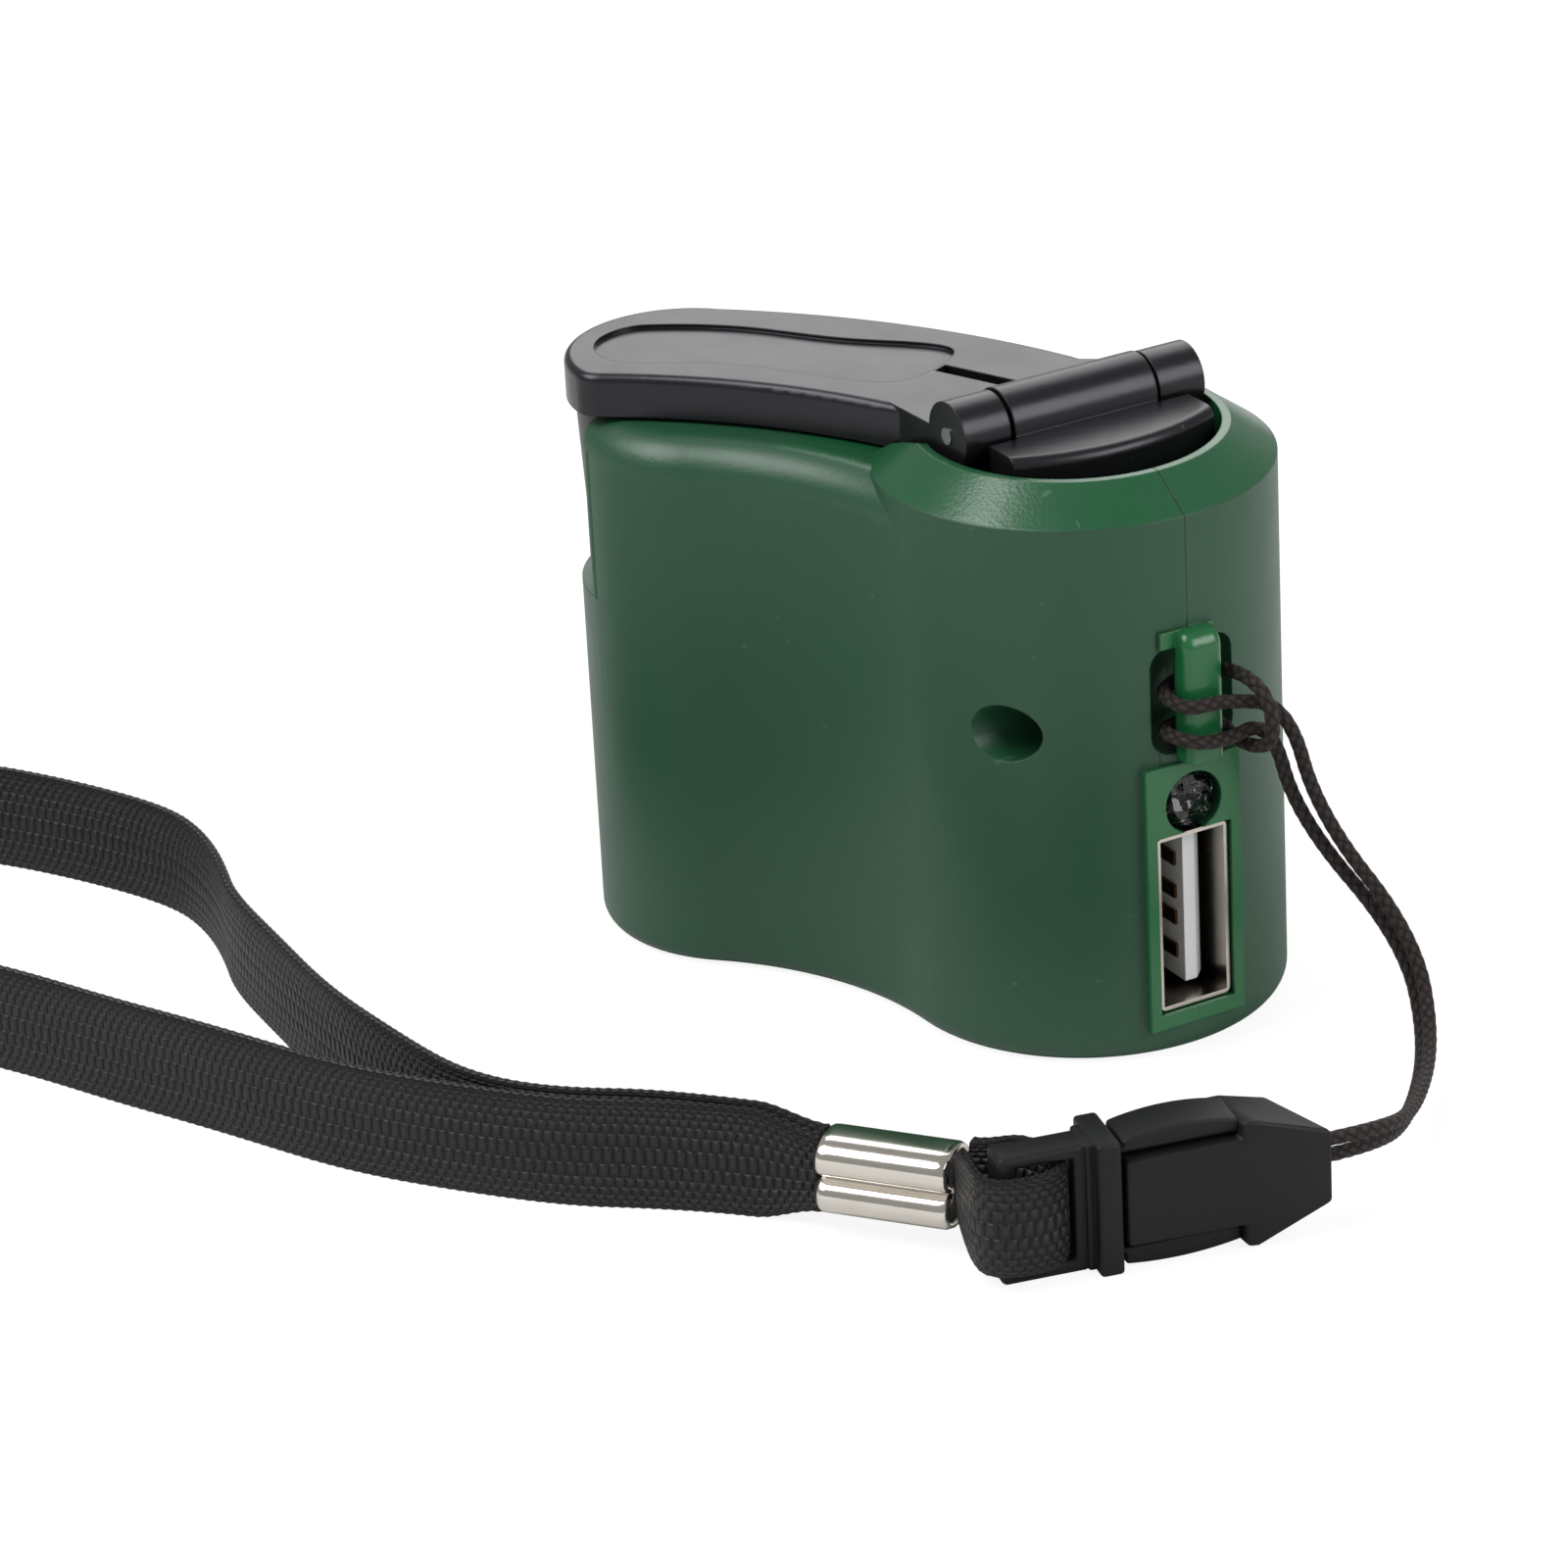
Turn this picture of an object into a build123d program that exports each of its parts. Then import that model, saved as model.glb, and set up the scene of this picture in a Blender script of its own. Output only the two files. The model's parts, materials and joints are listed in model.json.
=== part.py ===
from build123d import *
from math import cos, degrees, acos, radians, sin, tan
import os

# Hand crank phone charger with a wrist lanyard. Lengths are in millimetres.
# The origin is on the crank's axis at the base plane. +X points out of the port,
# +Y runs along the crank's hinge, +Z points up.

os.makedirs("parts", exist_ok=True)

# Casing
HUB_R = 14.0
LOBE_R = 10.6
LOBE_DISTANCE = 28.05
LOBE_ANGLE = 209.5
WAIST_R = 24.0
BACK_R = 66.0
WALL = 1.6
BASE_FILLET = 1.4
LOBE_TOP = 40.0
LOBE_TOP_FILLET = 2.7
RIM_SHOULDER = LOBE_TOP - 0.2
RIM_TOP = LOBE_TOP + 2.06
RIM_BAND = 0.6
WELL_R = 10.25
WELL_FLOOR = RIM_TOP - 5.06
CAVITY_TOP_HUB = WELL_FLOOR - WALL
CAVITY_TOP_LOBE = LOBE_TOP - WALL
LEDGE_WIDTH = 0.9
LEDGE_HEIGHT = 1.0

# Knob and its groove in the lobe
KNOB_X = -28.6
KNOB_Y = -16.85
KNOB_TOP = LOBE_TOP
KNOB_BOTTOM = 27.0
KNOB_TOP_R = 5.7
KNOB_BOTTOM_R = 5.1
KNOB_EDGE_FILLET = 0.8
KNOB_CLEARANCE = 0.6
GROOVE_R = KNOB_TOP_R + KNOB_CLEARANCE
GROOVE_FLOOR = KNOB_BOTTOM - 0.4
GROOVE_WALL = GROOVE_R + WALL
MOUTH_R = 1.0

# Crank arm and its hinge
ARM_BOTTOM = LOBE_TOP + 0.3
ARM_TOP = ARM_BOTTOM + 3.1
ARM_TIP_X = -26.0
ARM_TIP_Y = -16.1
ARM_TIP_R = 8.13
ARM_CORNER_ANGLE = -83.5
ARM_CORNER_FILLET = 2.2
ARM_EDGE_FILLET = 0.6
ARM_CLEARANCE = 0.8
PANEL_DEPTH = 0.3
HINGE_X = -0.4
HINGE_Z = ARM_TOP - 0.15
BARREL_R = 2.5
BARREL_HALF = 5.7
KNUCKLE_R = 2.4
KNUCKLE_INNER = 6.0
KNUCKLE_OUTER = 9.6
ROOT_X = HINGE_X - BARREL_R - 0.5
PIN_R = 0.6
PIN_PROUD = 0.12
RUNNING = 0.05
ARM_SLOT_WIDTH = 1.3

# Crank hub in the well
HUB_DISC_R = 9.7
HUB_DISC_BOTTOM = WELL_FLOOR + 0.3
HUB_DISC_TOP = WELL_FLOOR + 2.5
HUB_FLAT = HINGE_Z - 0.25
HUB_FLAT_APEX = 7.4
HUB_FLAT_CORNER_X = 5.5
HUB_FLAT_HALF = 8.0
HUB_FLAT_START = HINGE_X + KNUCKLE_R + 0.35
STEM_R = 2.55
COLLAR_R = 4.5
COLLAR_GAP = 0.05
HUB_SCREW_R = 0.9
HUB_SCREW_DEPTH = 6.0
HUB_SCREW_HEAD_R = 1.9
HUB_SCREW_HEAD = 1.1
WASHER_R = 3.6
WASHER = 0.6
KNOB_SEAT = KNOB_BOTTOM + 3.0
KNOB_HEAD_R = 2.8
KNOB_HEAD = 1.4
KNOB_SCREW_R = 1.5
KNOB_SCREW_COVER = 1.0

# Gear train
MODULE = 0.5
MAIN_TEETH = 36
PINION_TEETH = 10
FIRST_TEETH = 32
SECOND_TEETH = 20
ROTOR_TEETH = 8
ROOT_DEPTH = 1.15
TIP_HEIGHT = 0.85
ROOT_SHARE = 0.27
TIP_SHARE = 0.11
FIRST_DISTANCE = MODULE * (MAIN_TEETH + PINION_TEETH) / 2
SECOND_DISTANCE = MODULE * (FIRST_TEETH + PINION_TEETH) / 2
ROTOR_DISTANCE = MODULE * (SECOND_TEETH + ROTOR_TEETH) / 2
FIRST_ANGLE = 203.0
UPPER_PLATE_BOTTOM = CAVITY_TOP_HUB - 3.4
PLATE = 1.0
PLATE_GAP = 0.15
MAIN_TOP = UPPER_PLATE_BOTTOM - 1.7
MAIN_BOTTOM = MAIN_TOP - 2.0
FIRST_TOP = MAIN_BOTTOM - 2.9
FIRST_BOTTOM = FIRST_TOP - 1.8
SECOND_TOP = FIRST_BOTTOM - 0.5
SECOND_BOTTOM = SECOND_TOP - 1.9
LOWER_PLATE_BOTTOM = SECOND_BOTTOM - PLATE - 0.8
PLATE_END_X = 4.0
AXLE_R = 0.75
PILLAR_R = 1.1
PILLAR_RADIUS = HUB_R - WALL - PILLAR_R - 0.3
PLATE_SCREW_R = 0.5
PLATE_SCREW_HEAD_R = 1.0
PLATE_SCREW_HEAD = 0.6

# Generator
CAN_R = 8.0
CAN_WALL = 0.6
CAN_BOTTOM = 4.4
NOSE_R = 3.0
CAP_BOTTOM = 2.6
CAP_BOSS_R = 2.4
SHAFT_R = 0.75
CORE_R = 5.6
CORE_TOP = LOWER_PLATE_BOTTOM - 3.4
CORE_BOTTOM = CORE_TOP - 8.0
NECK_WIDTH = 2.2
SHOE_DEPTH = 1.0
MAGNET_R = 6.0
MAGNET_GAP = 5.0
COMMUTATOR_R = 1.9

# Port, light and strap bar on the hub's +X side
BEZEL_FACE = 14.25
BEZEL_HALF = 3.8
BEZEL_BOTTOM = 2.3
BEZEL_TOP = 22.0
USB_HEIGHT = 13.1
USB_WIDTH = 5.72
USB_DEPTH = 14.0
USB_METAL = 0.3
USB_FACE = 13.9
USB_Z = 10.1
PORT_CLEARANCE = 0.13
TONGUE_LENGTH = 8.6
TONGUE_THICK = 1.84
TONGUE_WIDTH = 11.1
TONGUE_Y = 1.0
TONGUE_CHAMFER = 0.9
CONTACT_WIDTH = 1.0
CONTACT_THICK = 0.2
CONTACT_PITCH_INNER = 2.0
CONTACT_PITCH_OUTER = 7.0
LED_R = 2.2
LED_Z = 18.9
LED_FACE = 14.1
LED_BACK = 6.0
BAR_FACE = 15.6
BAR_BACK = 13.4
BAR_MIN_Y = -1.1
BAR_MAX_Y = 1.9
BAR_ROOT_X = 12.0
BAR_BOTTOM = 22.3
BAR_TOP = 31.8
BAR_EDGE = 0.7
BAR_TOP_ROUND = 1.3
BAR_SHOULDER_Y = -2.3
POCKET_X = 14.9
POCKET_Y = 0.5
POCKET_R = 3.6
POCKET_BOTTOM = 22.7
POCKET_TOP = 30.6
POCKET_ROUND = 1.5
POCKET_WALL = 1.0

# Case screw
SCREW_X = 8.27
SCREW_POST_R = 2.92
SCREW_Z = MAIN_BOTTOM - SCREW_POST_R - 0.58
SCREW_HOLE_R = 2.07
SCREW_HEAD_R = 1.8
SCREW_HEAD = 1.4
SCREW_SEAT_Y = -5.0
SCREW_SHAFT_R = 0.95
SCREW_TIP_Y = 6.0

# Circuit board
BOARD_FACE_Y = USB_WIDTH / 2
BOARD = 1.0
BOARD_MIN_X = -9.0
BOARD_MAX_X = 10.8
BOARD_TOP = LOWER_PLATE_BOTTOM - 1.4
RAIL = 0.6
RAIL_TOP = 2 * WALL

# Lanyard
CORD_D = 1.0
WIRE_D = 0.8
WEB_WIDTH = 8.0
WEB_THICK = 1.0
BUCKLE_DEPTH = 5.0
LOOP_WIDTH = 7.0
BUCKLE_HEIGHT = 9.6
BUCKLE_FLANGE = 2.2
BUCKLE_FRAME = 8.0
BUCKLE_FRAME_INSET = 1.2
BUCKLE_FRAME_MIDDLE = 4.7
BUCKLE_WINDOW_START = -6.8
BUCKLE_WINDOW_END = -2.4
BUCKLE_TIP = 14.5
FERRULE_LENGTH = 9.4
FERRULE_DEPTH = 4.6
FERRULE_LOBE = 3.0
FERRULE_HEIGHT = 5.6
FERRULE_BOTTOM = 1.3
FERRULE_ROUND = 1.4
FERRULE_METAL = 0.4


def polar(radius, angle):
    return Vector(radius * cos(radians(angle)), radius * sin(radians(angle)), 0)


def toward(start, end, distance):
    return start + (end - start).normalized() * distance


def meeting(first, first_r, second, second_r):
    """Where two circles meet, on the left of the way from the first centre to the second."""
    way = second - first
    ahead = (first_r**2 - second_r**2 + way.length**2) / (2 * way.length)
    aside = (first_r**2 - ahead**2) ** 0.5
    step = way.normalized()
    return first + step * ahead + Vector(-step.Y, step.X, 0) * aside


def bearing(start, end):
    """Angle of the way from one point to another, anticlockwise from +X."""
    line = end - start
    return degrees(acos(line.X / line.length)) * (1 if line.Y >= 0 else -1)


HUB = Vector(0, 0, 0)
LOBE = polar(LOBE_DISTANCE, LOBE_ANGLE)
KNOB = Vector(KNOB_X, KNOB_Y, 0)
ARM_TIP = Vector(ARM_TIP_X, ARM_TIP_Y, 0)
ARM_CORNER = ARM_TIP + polar(ARM_TIP_R, ARM_CORNER_ANGLE)
POCKET = Vector(POCKET_X, POCKET_Y, 0)
WAIST_CENTRE = meeting(HUB, HUB_R + WAIST_R, LOBE, LOBE_R + WAIST_R)
BACK_CENTRE = meeting(HUB, BACK_R - HUB_R, LOBE, BACK_R - LOBE_R)
MOUTH = meeting(LOBE, LOBE_R - MOUTH_R, KNOB, GROOVE_R + MOUTH_R)

# Gear centres: each meshes with the one before, and the rotor is on the lobe's axis
FIRST = polar(FIRST_DISTANCE, FIRST_ANGLE)
SECOND = meeting(LOBE, ROTOR_DISTANCE, FIRST, SECOND_DISTANCE)
TO_FIRST = bearing(HUB, FIRST)
TO_SECOND = bearing(FIRST, SECOND)
TO_ROTOR = bearing(SECOND, LOBE)
PILLARS = [polar(PILLAR_RADIUS, 92), polar(PILLAR_RADIUS, -100), Vector(-17.6, 2.0, 0)]


def casing_outline(inset):
    """Plan outline of the casing, drawn a distance inside its outer face."""
    hub_r = HUB_R - inset
    lobe_r = LOBE_R - inset
    hub_front = toward(HUB, WAIST_CENTRE, hub_r)
    lobe_front = toward(LOBE, WAIST_CENTRE, lobe_r)
    hub_back = toward(HUB, BACK_CENTRE, -hub_r)
    lobe_back = toward(LOBE, BACK_CENTRE, -lobe_r)
    back_middle = toward(BACK_CENTRE, (hub_back + lobe_back) * 0.5, BACK_R - inset)
    waist_middle = toward(WAIST_CENTRE, (hub_front + lobe_front) * 0.5, WAIST_R + inset)
    with BuildLine() as outline:
        ThreePointArc(hub_front, polar(hub_r, LOBE_ANGLE - 180), hub_back)
        ThreePointArc(hub_back, back_middle, lobe_back)
        ThreePointArc(lobe_back, LOBE + polar(lobe_r, LOBE_ANGLE), lobe_front)
        ThreePointArc(lobe_front, waist_middle, hub_front)
    return outline.edges()


def arm_outline():
    """Plan outline of the crank arm from its root to the round tip over the knob."""
    tip_end = ARM_TIP + polar(ARM_TIP_R, 200)
    tip_far = ARM_TIP + polar(ARM_TIP_R, 130)
    with BuildLine() as outline:
        ThreePointArc(ARM_CORNER, (-15.9, -15.0), (-6.6, -9.7))
        Line((-6.6, -9.7), (ROOT_X, -KNUCKLE_OUTER))
        Line((ROOT_X, -KNUCKLE_OUTER), (ROOT_X, KNUCKLE_OUTER))
        Line((ROOT_X, KNUCKLE_OUTER), (-6.4, 5.75))
        ThreePointArc((-6.4, 5.75), (-19.4, -0.2), tip_far)
        ThreePointArc(tip_far, tip_end, ARM_CORNER)
    return outline.edges()


def gear_outline(teeth, turn):
    """Straight-sided spur gear outline with running play, a tooth centred at the angle turn."""
    pitch_r = MODULE * teeth / 2
    step = 360 / teeth
    root_r = pitch_r - ROOT_DEPTH * MODULE
    tip_r = pitch_r + TIP_HEIGHT * MODULE
    points = []
    for index in range(teeth):
        middle = turn + index * step
        points.append(polar(root_r, middle - ROOT_SHARE * step))
        points.append(polar(tip_r, middle - TIP_SHARE * step))
        points.append(polar(tip_r, middle + TIP_SHARE * step))
        points.append(polar(root_r, middle + ROOT_SHARE * step))
    with BuildLine() as outline:
        Polyline(*points, close=True)
    return outline.edges()


def block(x_range, y_range, z_range, mode=Mode.ADD):
    """Box between the given limits."""
    low = Vector(x_range[0], y_range[0], z_range[0])
    high = Vector(x_range[1], y_range[1], z_range[1])
    size = high - low
    with Locations((low + high) * 0.5):
        Box(size.X, size.Y, size.Z, mode=mode)


def column(centre, radius, bottom, top, mode=Mode.ADD):
    """Upright cylinder between two heights."""
    with Locations((centre.X, centre.Y, (bottom + top) / 2)):
        Cylinder(radius, top - bottom, mode=mode)


def rod_x(y, z, radius, start, end, mode=Mode.ADD):
    """Cylinder along X."""
    with Locations(Location(((start + end) / 2, y, z), (0, 90, 0))):
        Cylinder(radius, end - start, mode=mode)


def rod_y(x, z, radius, start, end, mode=Mode.ADD):
    """Cylinder along Y."""
    with Locations(Location((x, (start + end) / 2, z), (90, 0, 0))):
        Cylinder(radius, end - start, mode=mode)


def groove_form(radius, bottom, top, mode):
    """The knob's groove: round towards the hub, and open to -X, where the knob swings out."""
    column(KNOB, radius, bottom, top, mode)
    outer_end = KNOB.X - 2 * GROOVE_WALL
    block((outer_end, KNOB.X), (KNOB.Y - radius, KNOB.Y + radius), (bottom, top), mode)


def save(piece, name):
    piece.part.label = name
    export_step(piece.part, f"parts/{name}.step")


def bend_radii(points):
    """Bend radii that use nine tenths of the shorter run beside each corner."""
    vectors = [Vector(*point) for point in points]
    radii = []
    for before, corner, after in zip(vectors, vectors[1:], vectors[2:]):
        first = corner - before
        second = after - corner
        half_turn = radians(first.get_angle(second)) / 2
        radii.append(0.45 * min(first.length, second.length) / tan(half_turn))
    return radii


# ---- Casing: one hollow form, parted into two halves ----

with BuildPart() as cavity:
    with BuildSketch(Plane.XY.offset(WALL)):
        make_face(casing_outline(WALL))
    extrude(amount=CAVITY_TOP_LOBE - WALL)
    column(HUB, HUB_R, CAVITY_TOP_HUB, LOBE_TOP, Mode.SUBTRACT)
    groove_form(GROOVE_WALL, GROOVE_FLOOR - WALL, LOBE_TOP, Mode.SUBTRACT)

with BuildPart() as ledge:
    with BuildSketch(Plane.XY.offset(LOWER_PLATE_BOTTOM - LEDGE_HEIGHT)):
        make_face(casing_outline(WALL))
        make_face(casing_outline(WALL + LEDGE_WIDTH), mode=Mode.SUBTRACT)
    extrude(amount=LEDGE_HEIGHT)
    block((PLATE_END_X, HUB_R), (-HUB_R, HUB_R), (0, LOBE_TOP), Mode.SUBTRACT)

with BuildPart() as arm_bay:
    with BuildSketch(Plane.XY.offset(LOBE_TOP)):
        make_face(arm_outline())
        offset(amount=ARM_CLEARANCE, mode=Mode.REPLACE)
    extrude(amount=RIM_TOP)

with BuildPart() as groove:
    groove_form(GROOVE_R, GROOVE_FLOOR, RIM_TOP, Mode.ADD)
    # The near wall of the groove stops at a rounded end
    with BuildSketch(Plane.XY.offset(GROOVE_FLOOR)):
        mouth_end = KNOB + (MOUTH - KNOB) * 1.5
        with BuildLine():
            Polyline(
                (KNOB.X, KNOB.Y),
                (mouth_end.X, mouth_end.Y),
                (KNOB.X - 2 * GROOVE_WALL, mouth_end.Y),
                (KNOB.X - 2 * GROOVE_WALL, KNOB.Y),
                close=True,
            )
        make_face()
        with Locations(MOUTH):
            Circle(MOUTH_R, mode=Mode.SUBTRACT)
    extrude(amount=RIM_TOP - GROOVE_FLOOR)

with BuildPart() as inner_walls:
    # Post for the case screw and the wall round the strap pocket, inside the outer face
    rod_y(SCREW_X, SCREW_Z, SCREW_POST_R, -HUB_R, HUB_R)
    column(POCKET, POCKET_R + POCKET_WALL, BAR_BOTTOM - POCKET_WALL, BAR_TOP)
    with BuildSketch():
        make_face(casing_outline(WALL / 2))
    extrude(amount=LOBE_TOP, mode=Mode.INTERSECT)

with BuildPart() as pocket:
    column(POCKET, POCKET_R, POCKET_BOTTOM, POCKET_TOP)
    fillet(pocket.edges().filter_by(GeomType.CIRCLE), POCKET_ROUND)

with BuildPart() as strap_bar:
    block((BAR_ROOT_X, BAR_FACE), (BAR_MIN_Y, BAR_MAX_Y), (BAR_BOTTOM, BAR_TOP))
    front_face = strap_bar.faces().sort_by(Axis.X)[-1]
    fillet(front_face.edges().sort_by(Axis.Z)[-1], BAR_TOP_ROUND)
    front_face = strap_bar.faces().filter_by(Axis.X).sort_by(Axis.X)[-1]
    fillet(front_face.edges().filter_by(Axis.Z), BAR_EDGE)
    block((BAR_ROOT_X, BAR_BACK), (BAR_MIN_Y, BAR_MAX_Y), (POCKET_BOTTOM, POCKET_TOP), Mode.SUBTRACT)
    upright_edges = strap_bar.edges().filter_by(Axis.Z)
    fillet(upright_edges.filter_by_position(Axis.X, BAR_BACK - 0.1, BAR_BACK + 0.1), BAR_EDGE)
    # Shoulder that joins the bar's top to the wall
    block((BAR_ROOT_X, BAR_BACK + 0.8), (BAR_SHOULDER_Y, BAR_MAX_Y), (POCKET_TOP, BAR_TOP))

with BuildPart() as casing:
    with BuildSketch():
        make_face(casing_outline(0))
    extrude(amount=LOBE_TOP)
    fillet(casing.faces().sort_by(Axis.Z)[0].edges(), BASE_FILLET)
    fillet(casing.faces().sort_by(Axis.Z)[-1].edges(), LOBE_TOP_FILLET)
    with BuildSketch(Plane.XZ):
        with BuildLine():
            Polyline(
                (0, GROOVE_FLOOR),
                (HUB_R, GROOVE_FLOOR),
                (HUB_R, RIM_SHOULDER),
                (WELL_R + RIM_BAND, RIM_TOP),
                (0, RIM_TOP),
                close=True,
            )
        make_face()
    revolve(axis=Axis.Z)
    add(arm_bay.part, mode=Mode.SUBTRACT)
    add(cavity.part, mode=Mode.SUBTRACT)
    add(ledge.part)
    # Well for the crank hub, and the bore in its floor for the hub's stem
    column(HUB, WELL_R, WELL_FLOOR, RIM_TOP, Mode.SUBTRACT)
    column(HUB, STEM_R + RUNNING, CAVITY_TOP_HUB - 1, RIM_TOP, Mode.SUBTRACT)
    add(groove.part, mode=Mode.SUBTRACT)
    add(inner_walls.part)
    # Port bezel with the receptacle's slot and the light's hole
    block((HUB_R - WALL - 0.7, BEZEL_FACE), (-BEZEL_HALF, BEZEL_HALF), (BEZEL_BOTTOM, BEZEL_TOP))
    block(
        (HUB_R - 3 * WALL, BEZEL_FACE + 1),
        (-USB_WIDTH / 2 - PORT_CLEARANCE, USB_WIDTH / 2 + PORT_CLEARANCE),
        (USB_Z - USB_HEIGHT / 2 - PORT_CLEARANCE, USB_Z + USB_HEIGHT / 2 + PORT_CLEARANCE),
        Mode.SUBTRACT,
    )
    rod_x(0, LED_Z, LED_R + RUNNING, HUB_R - 3 * WALL, BEZEL_FACE + 1, Mode.SUBTRACT)
    # Strap bar in front of a pocket that the cord passes through
    add(pocket.part, mode=Mode.SUBTRACT)
    add(strap_bar.part)

with BuildPart() as front_side:
    with BuildSketch():
        with BuildLine():
            Polyline(
                (2 * HUB_R, 0),
                (0, 0),
                (LOBE.X, LOBE.Y),
                (LOBE.X - 2 * LOBE_R, LOBE.Y),
                (LOBE.X - 2 * LOBE_R, -3 * HUB_R),
                (2 * HUB_R, -3 * HUB_R),
                close=True,
            )
        make_face()
    extrude(amount=RIM_TOP + 1)
    # The strap bar stays whole, on the rear half
    block(
        (BAR_BACK, BAR_FACE + 1),
        (BAR_SHOULDER_Y, 1),
        (BEZEL_TOP, BAR_TOP),
        Mode.SUBTRACT,
    )

with BuildPart() as front_shell:
    add(casing.part)
    add(front_side.part, mode=Mode.INTERSECT)
    rod_y(SCREW_X, SCREW_Z, SCREW_HOLE_R, -HUB_R, SCREW_SEAT_Y, Mode.SUBTRACT)
    rod_y(SCREW_X, SCREW_Z, SCREW_SHAFT_R + 0.1, SCREW_SEAT_Y, 0, Mode.SUBTRACT)
save(front_shell, "front_shell")

with BuildPart() as rear_shell:
    add(casing.part)
    add(front_side.part, mode=Mode.SUBTRACT)
    rod_y(SCREW_X, SCREW_Z, SCREW_SHAFT_R, 0, SCREW_TIP_Y, Mode.SUBTRACT)
    # Rails on the floor that hold the circuit board's lower edge
    board_back = BOARD_FACE_Y + BOARD
    block((BOARD_MIN_X + 1, -2), (BOARD_FACE_Y - RAIL, BOARD_FACE_Y), (WALL, RAIL_TOP))
    block((BOARD_MIN_X + 1, 9), (board_back, board_back + RAIL), (WALL, RAIL_TOP))
save(rear_shell, "rear_shell")

with BuildPart() as case_screw:
    rod_y(SCREW_X, SCREW_Z, SCREW_HEAD_R, SCREW_SEAT_Y - SCREW_HEAD, SCREW_SEAT_Y)
    rod_y(SCREW_X, SCREW_Z, SCREW_SHAFT_R, SCREW_SEAT_Y, SCREW_TIP_Y - 0.4)
    with Locations((SCREW_X, SCREW_SEAT_Y - SCREW_HEAD, SCREW_Z)):
        Box(2.4, 1.0, 0.5, mode=Mode.SUBTRACT)
        Box(0.5, 1.0, 2.4, mode=Mode.SUBTRACT)
save(case_screw, "case_screw")


# ---- Port and light ----

usb_low = USB_Z - USB_HEIGHT / 2
usb_high = USB_Z + USB_HEIGHT / 2
usb_back = USB_FACE - USB_DEPTH
tongue_root = USB_FACE - 1.4 - TONGUE_LENGTH

with BuildPart() as usb_shell:
    block((usb_back, USB_FACE), (-USB_WIDTH / 2, USB_WIDTH / 2), (usb_low, usb_high))
    fillet(usb_shell.edges().filter_by(Axis.X), 0.5)
    block(
        (usb_back - 1, USB_FACE + 1),
        (-USB_WIDTH / 2 + USB_METAL, USB_WIDTH / 2 - USB_METAL),
        (usb_low + USB_METAL, usb_high - USB_METAL),
        Mode.SUBTRACT,
    )
    # Windows of the spring leaves in the two wide sides
    for z in (USB_Z - 3.1, USB_Z + 3.1):
        block(
            (USB_FACE - 6.5, USB_FACE - 3.5), (-USB_WIDTH, USB_WIDTH), (z - 0.6, z + 0.6),
            Mode.SUBTRACT,
        )
save(usb_shell, "usb_shell")

with BuildPart() as usb_tongue:
    block(
        (usb_back, tongue_root),
        (-USB_WIDTH / 2 + USB_METAL, USB_WIDTH / 2 - USB_METAL),
        (usb_low + USB_METAL, usb_high - USB_METAL),
    )
    block(
        (tongue_root, tongue_root + TONGUE_LENGTH),
        (TONGUE_Y - TONGUE_THICK / 2, TONGUE_Y + TONGUE_THICK / 2),
        (USB_Z - TONGUE_WIDTH / 2, USB_Z + TONGUE_WIDTH / 2),
    )
    front_face = usb_tongue.faces().sort_by(Axis.X)[-1]
    chamfer(front_face.edges().sort_by(Axis.Y)[-1], TONGUE_CHAMFER)
save(usb_tongue, "usb_tongue")

with BuildPart() as usb_contacts:
    contact_face = TONGUE_Y - TONGUE_THICK / 2
    for pitch in (CONTACT_PITCH_OUTER, CONTACT_PITCH_INNER):
        for z in (USB_Z - pitch / 2, USB_Z + pitch / 2):
            block(
                (tongue_root, tongue_root + TONGUE_LENGTH - 0.8),
                (contact_face - CONTACT_THICK, contact_face),
                (z - CONTACT_WIDTH / 2, z + CONTACT_WIDTH / 2),
            )
save(usb_contacts, "usb_contacts")

with BuildPart() as led_lens:
    rod_x(0, LED_Z, LED_R, LED_BACK, LED_FACE)
    fillet(led_lens.faces().sort_by(Axis.X)[-1].edges(), 0.9)
save(led_lens, "led_lens")

with BuildPart() as led_legs:
    for y, x in ((-1.27, 3.4), (1.27, 4.6)):
        rod_x(y, LED_Z, 0.25, x, LED_BACK)
        block((x - 0.25, x + 0.25), (y - 0.25, y + 0.25), (USB_Z + 6.9, LED_Z + 0.25))
        block((x - 0.25, x + 0.25), (y - 0.25, BOARD_FACE_Y), (USB_Z + 6.9, USB_Z + 7.4))
save(led_legs, "led_legs")


# ---- Circuit board ----

with BuildPart() as circuit_board:
    block((BOARD_MIN_X, BOARD_MAX_X), (BOARD_FACE_Y, board_back), (WALL, BOARD_TOP))
save(circuit_board, "circuit_board")

with BuildPart() as diodes:
    for x in (-6.5, -3.3, -0.1, 3.1):
        column(Vector(x, board_back + 1.0, 0), 1.0, BOARD_TOP - 5.6, BOARD_TOP - 1.8)
save(diodes, "diodes")

with BuildPart() as capacitor:
    rod_y(-3.4, 7.4, 2.5, board_back, board_back + 5.5)
    fillet(capacitor.faces().sort_by(Axis.Y)[-1].edges(), 0.4)
save(capacitor, "capacitor")

with BuildPart() as regulator_chip:
    block((1.5, 6.4), (board_back, board_back + 1.5), (5.4, 9.3))
save(regulator_chip, "regulator_chip")


# ---- Generator ----

can_top = LOWER_PLATE_BOTTOM

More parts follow.
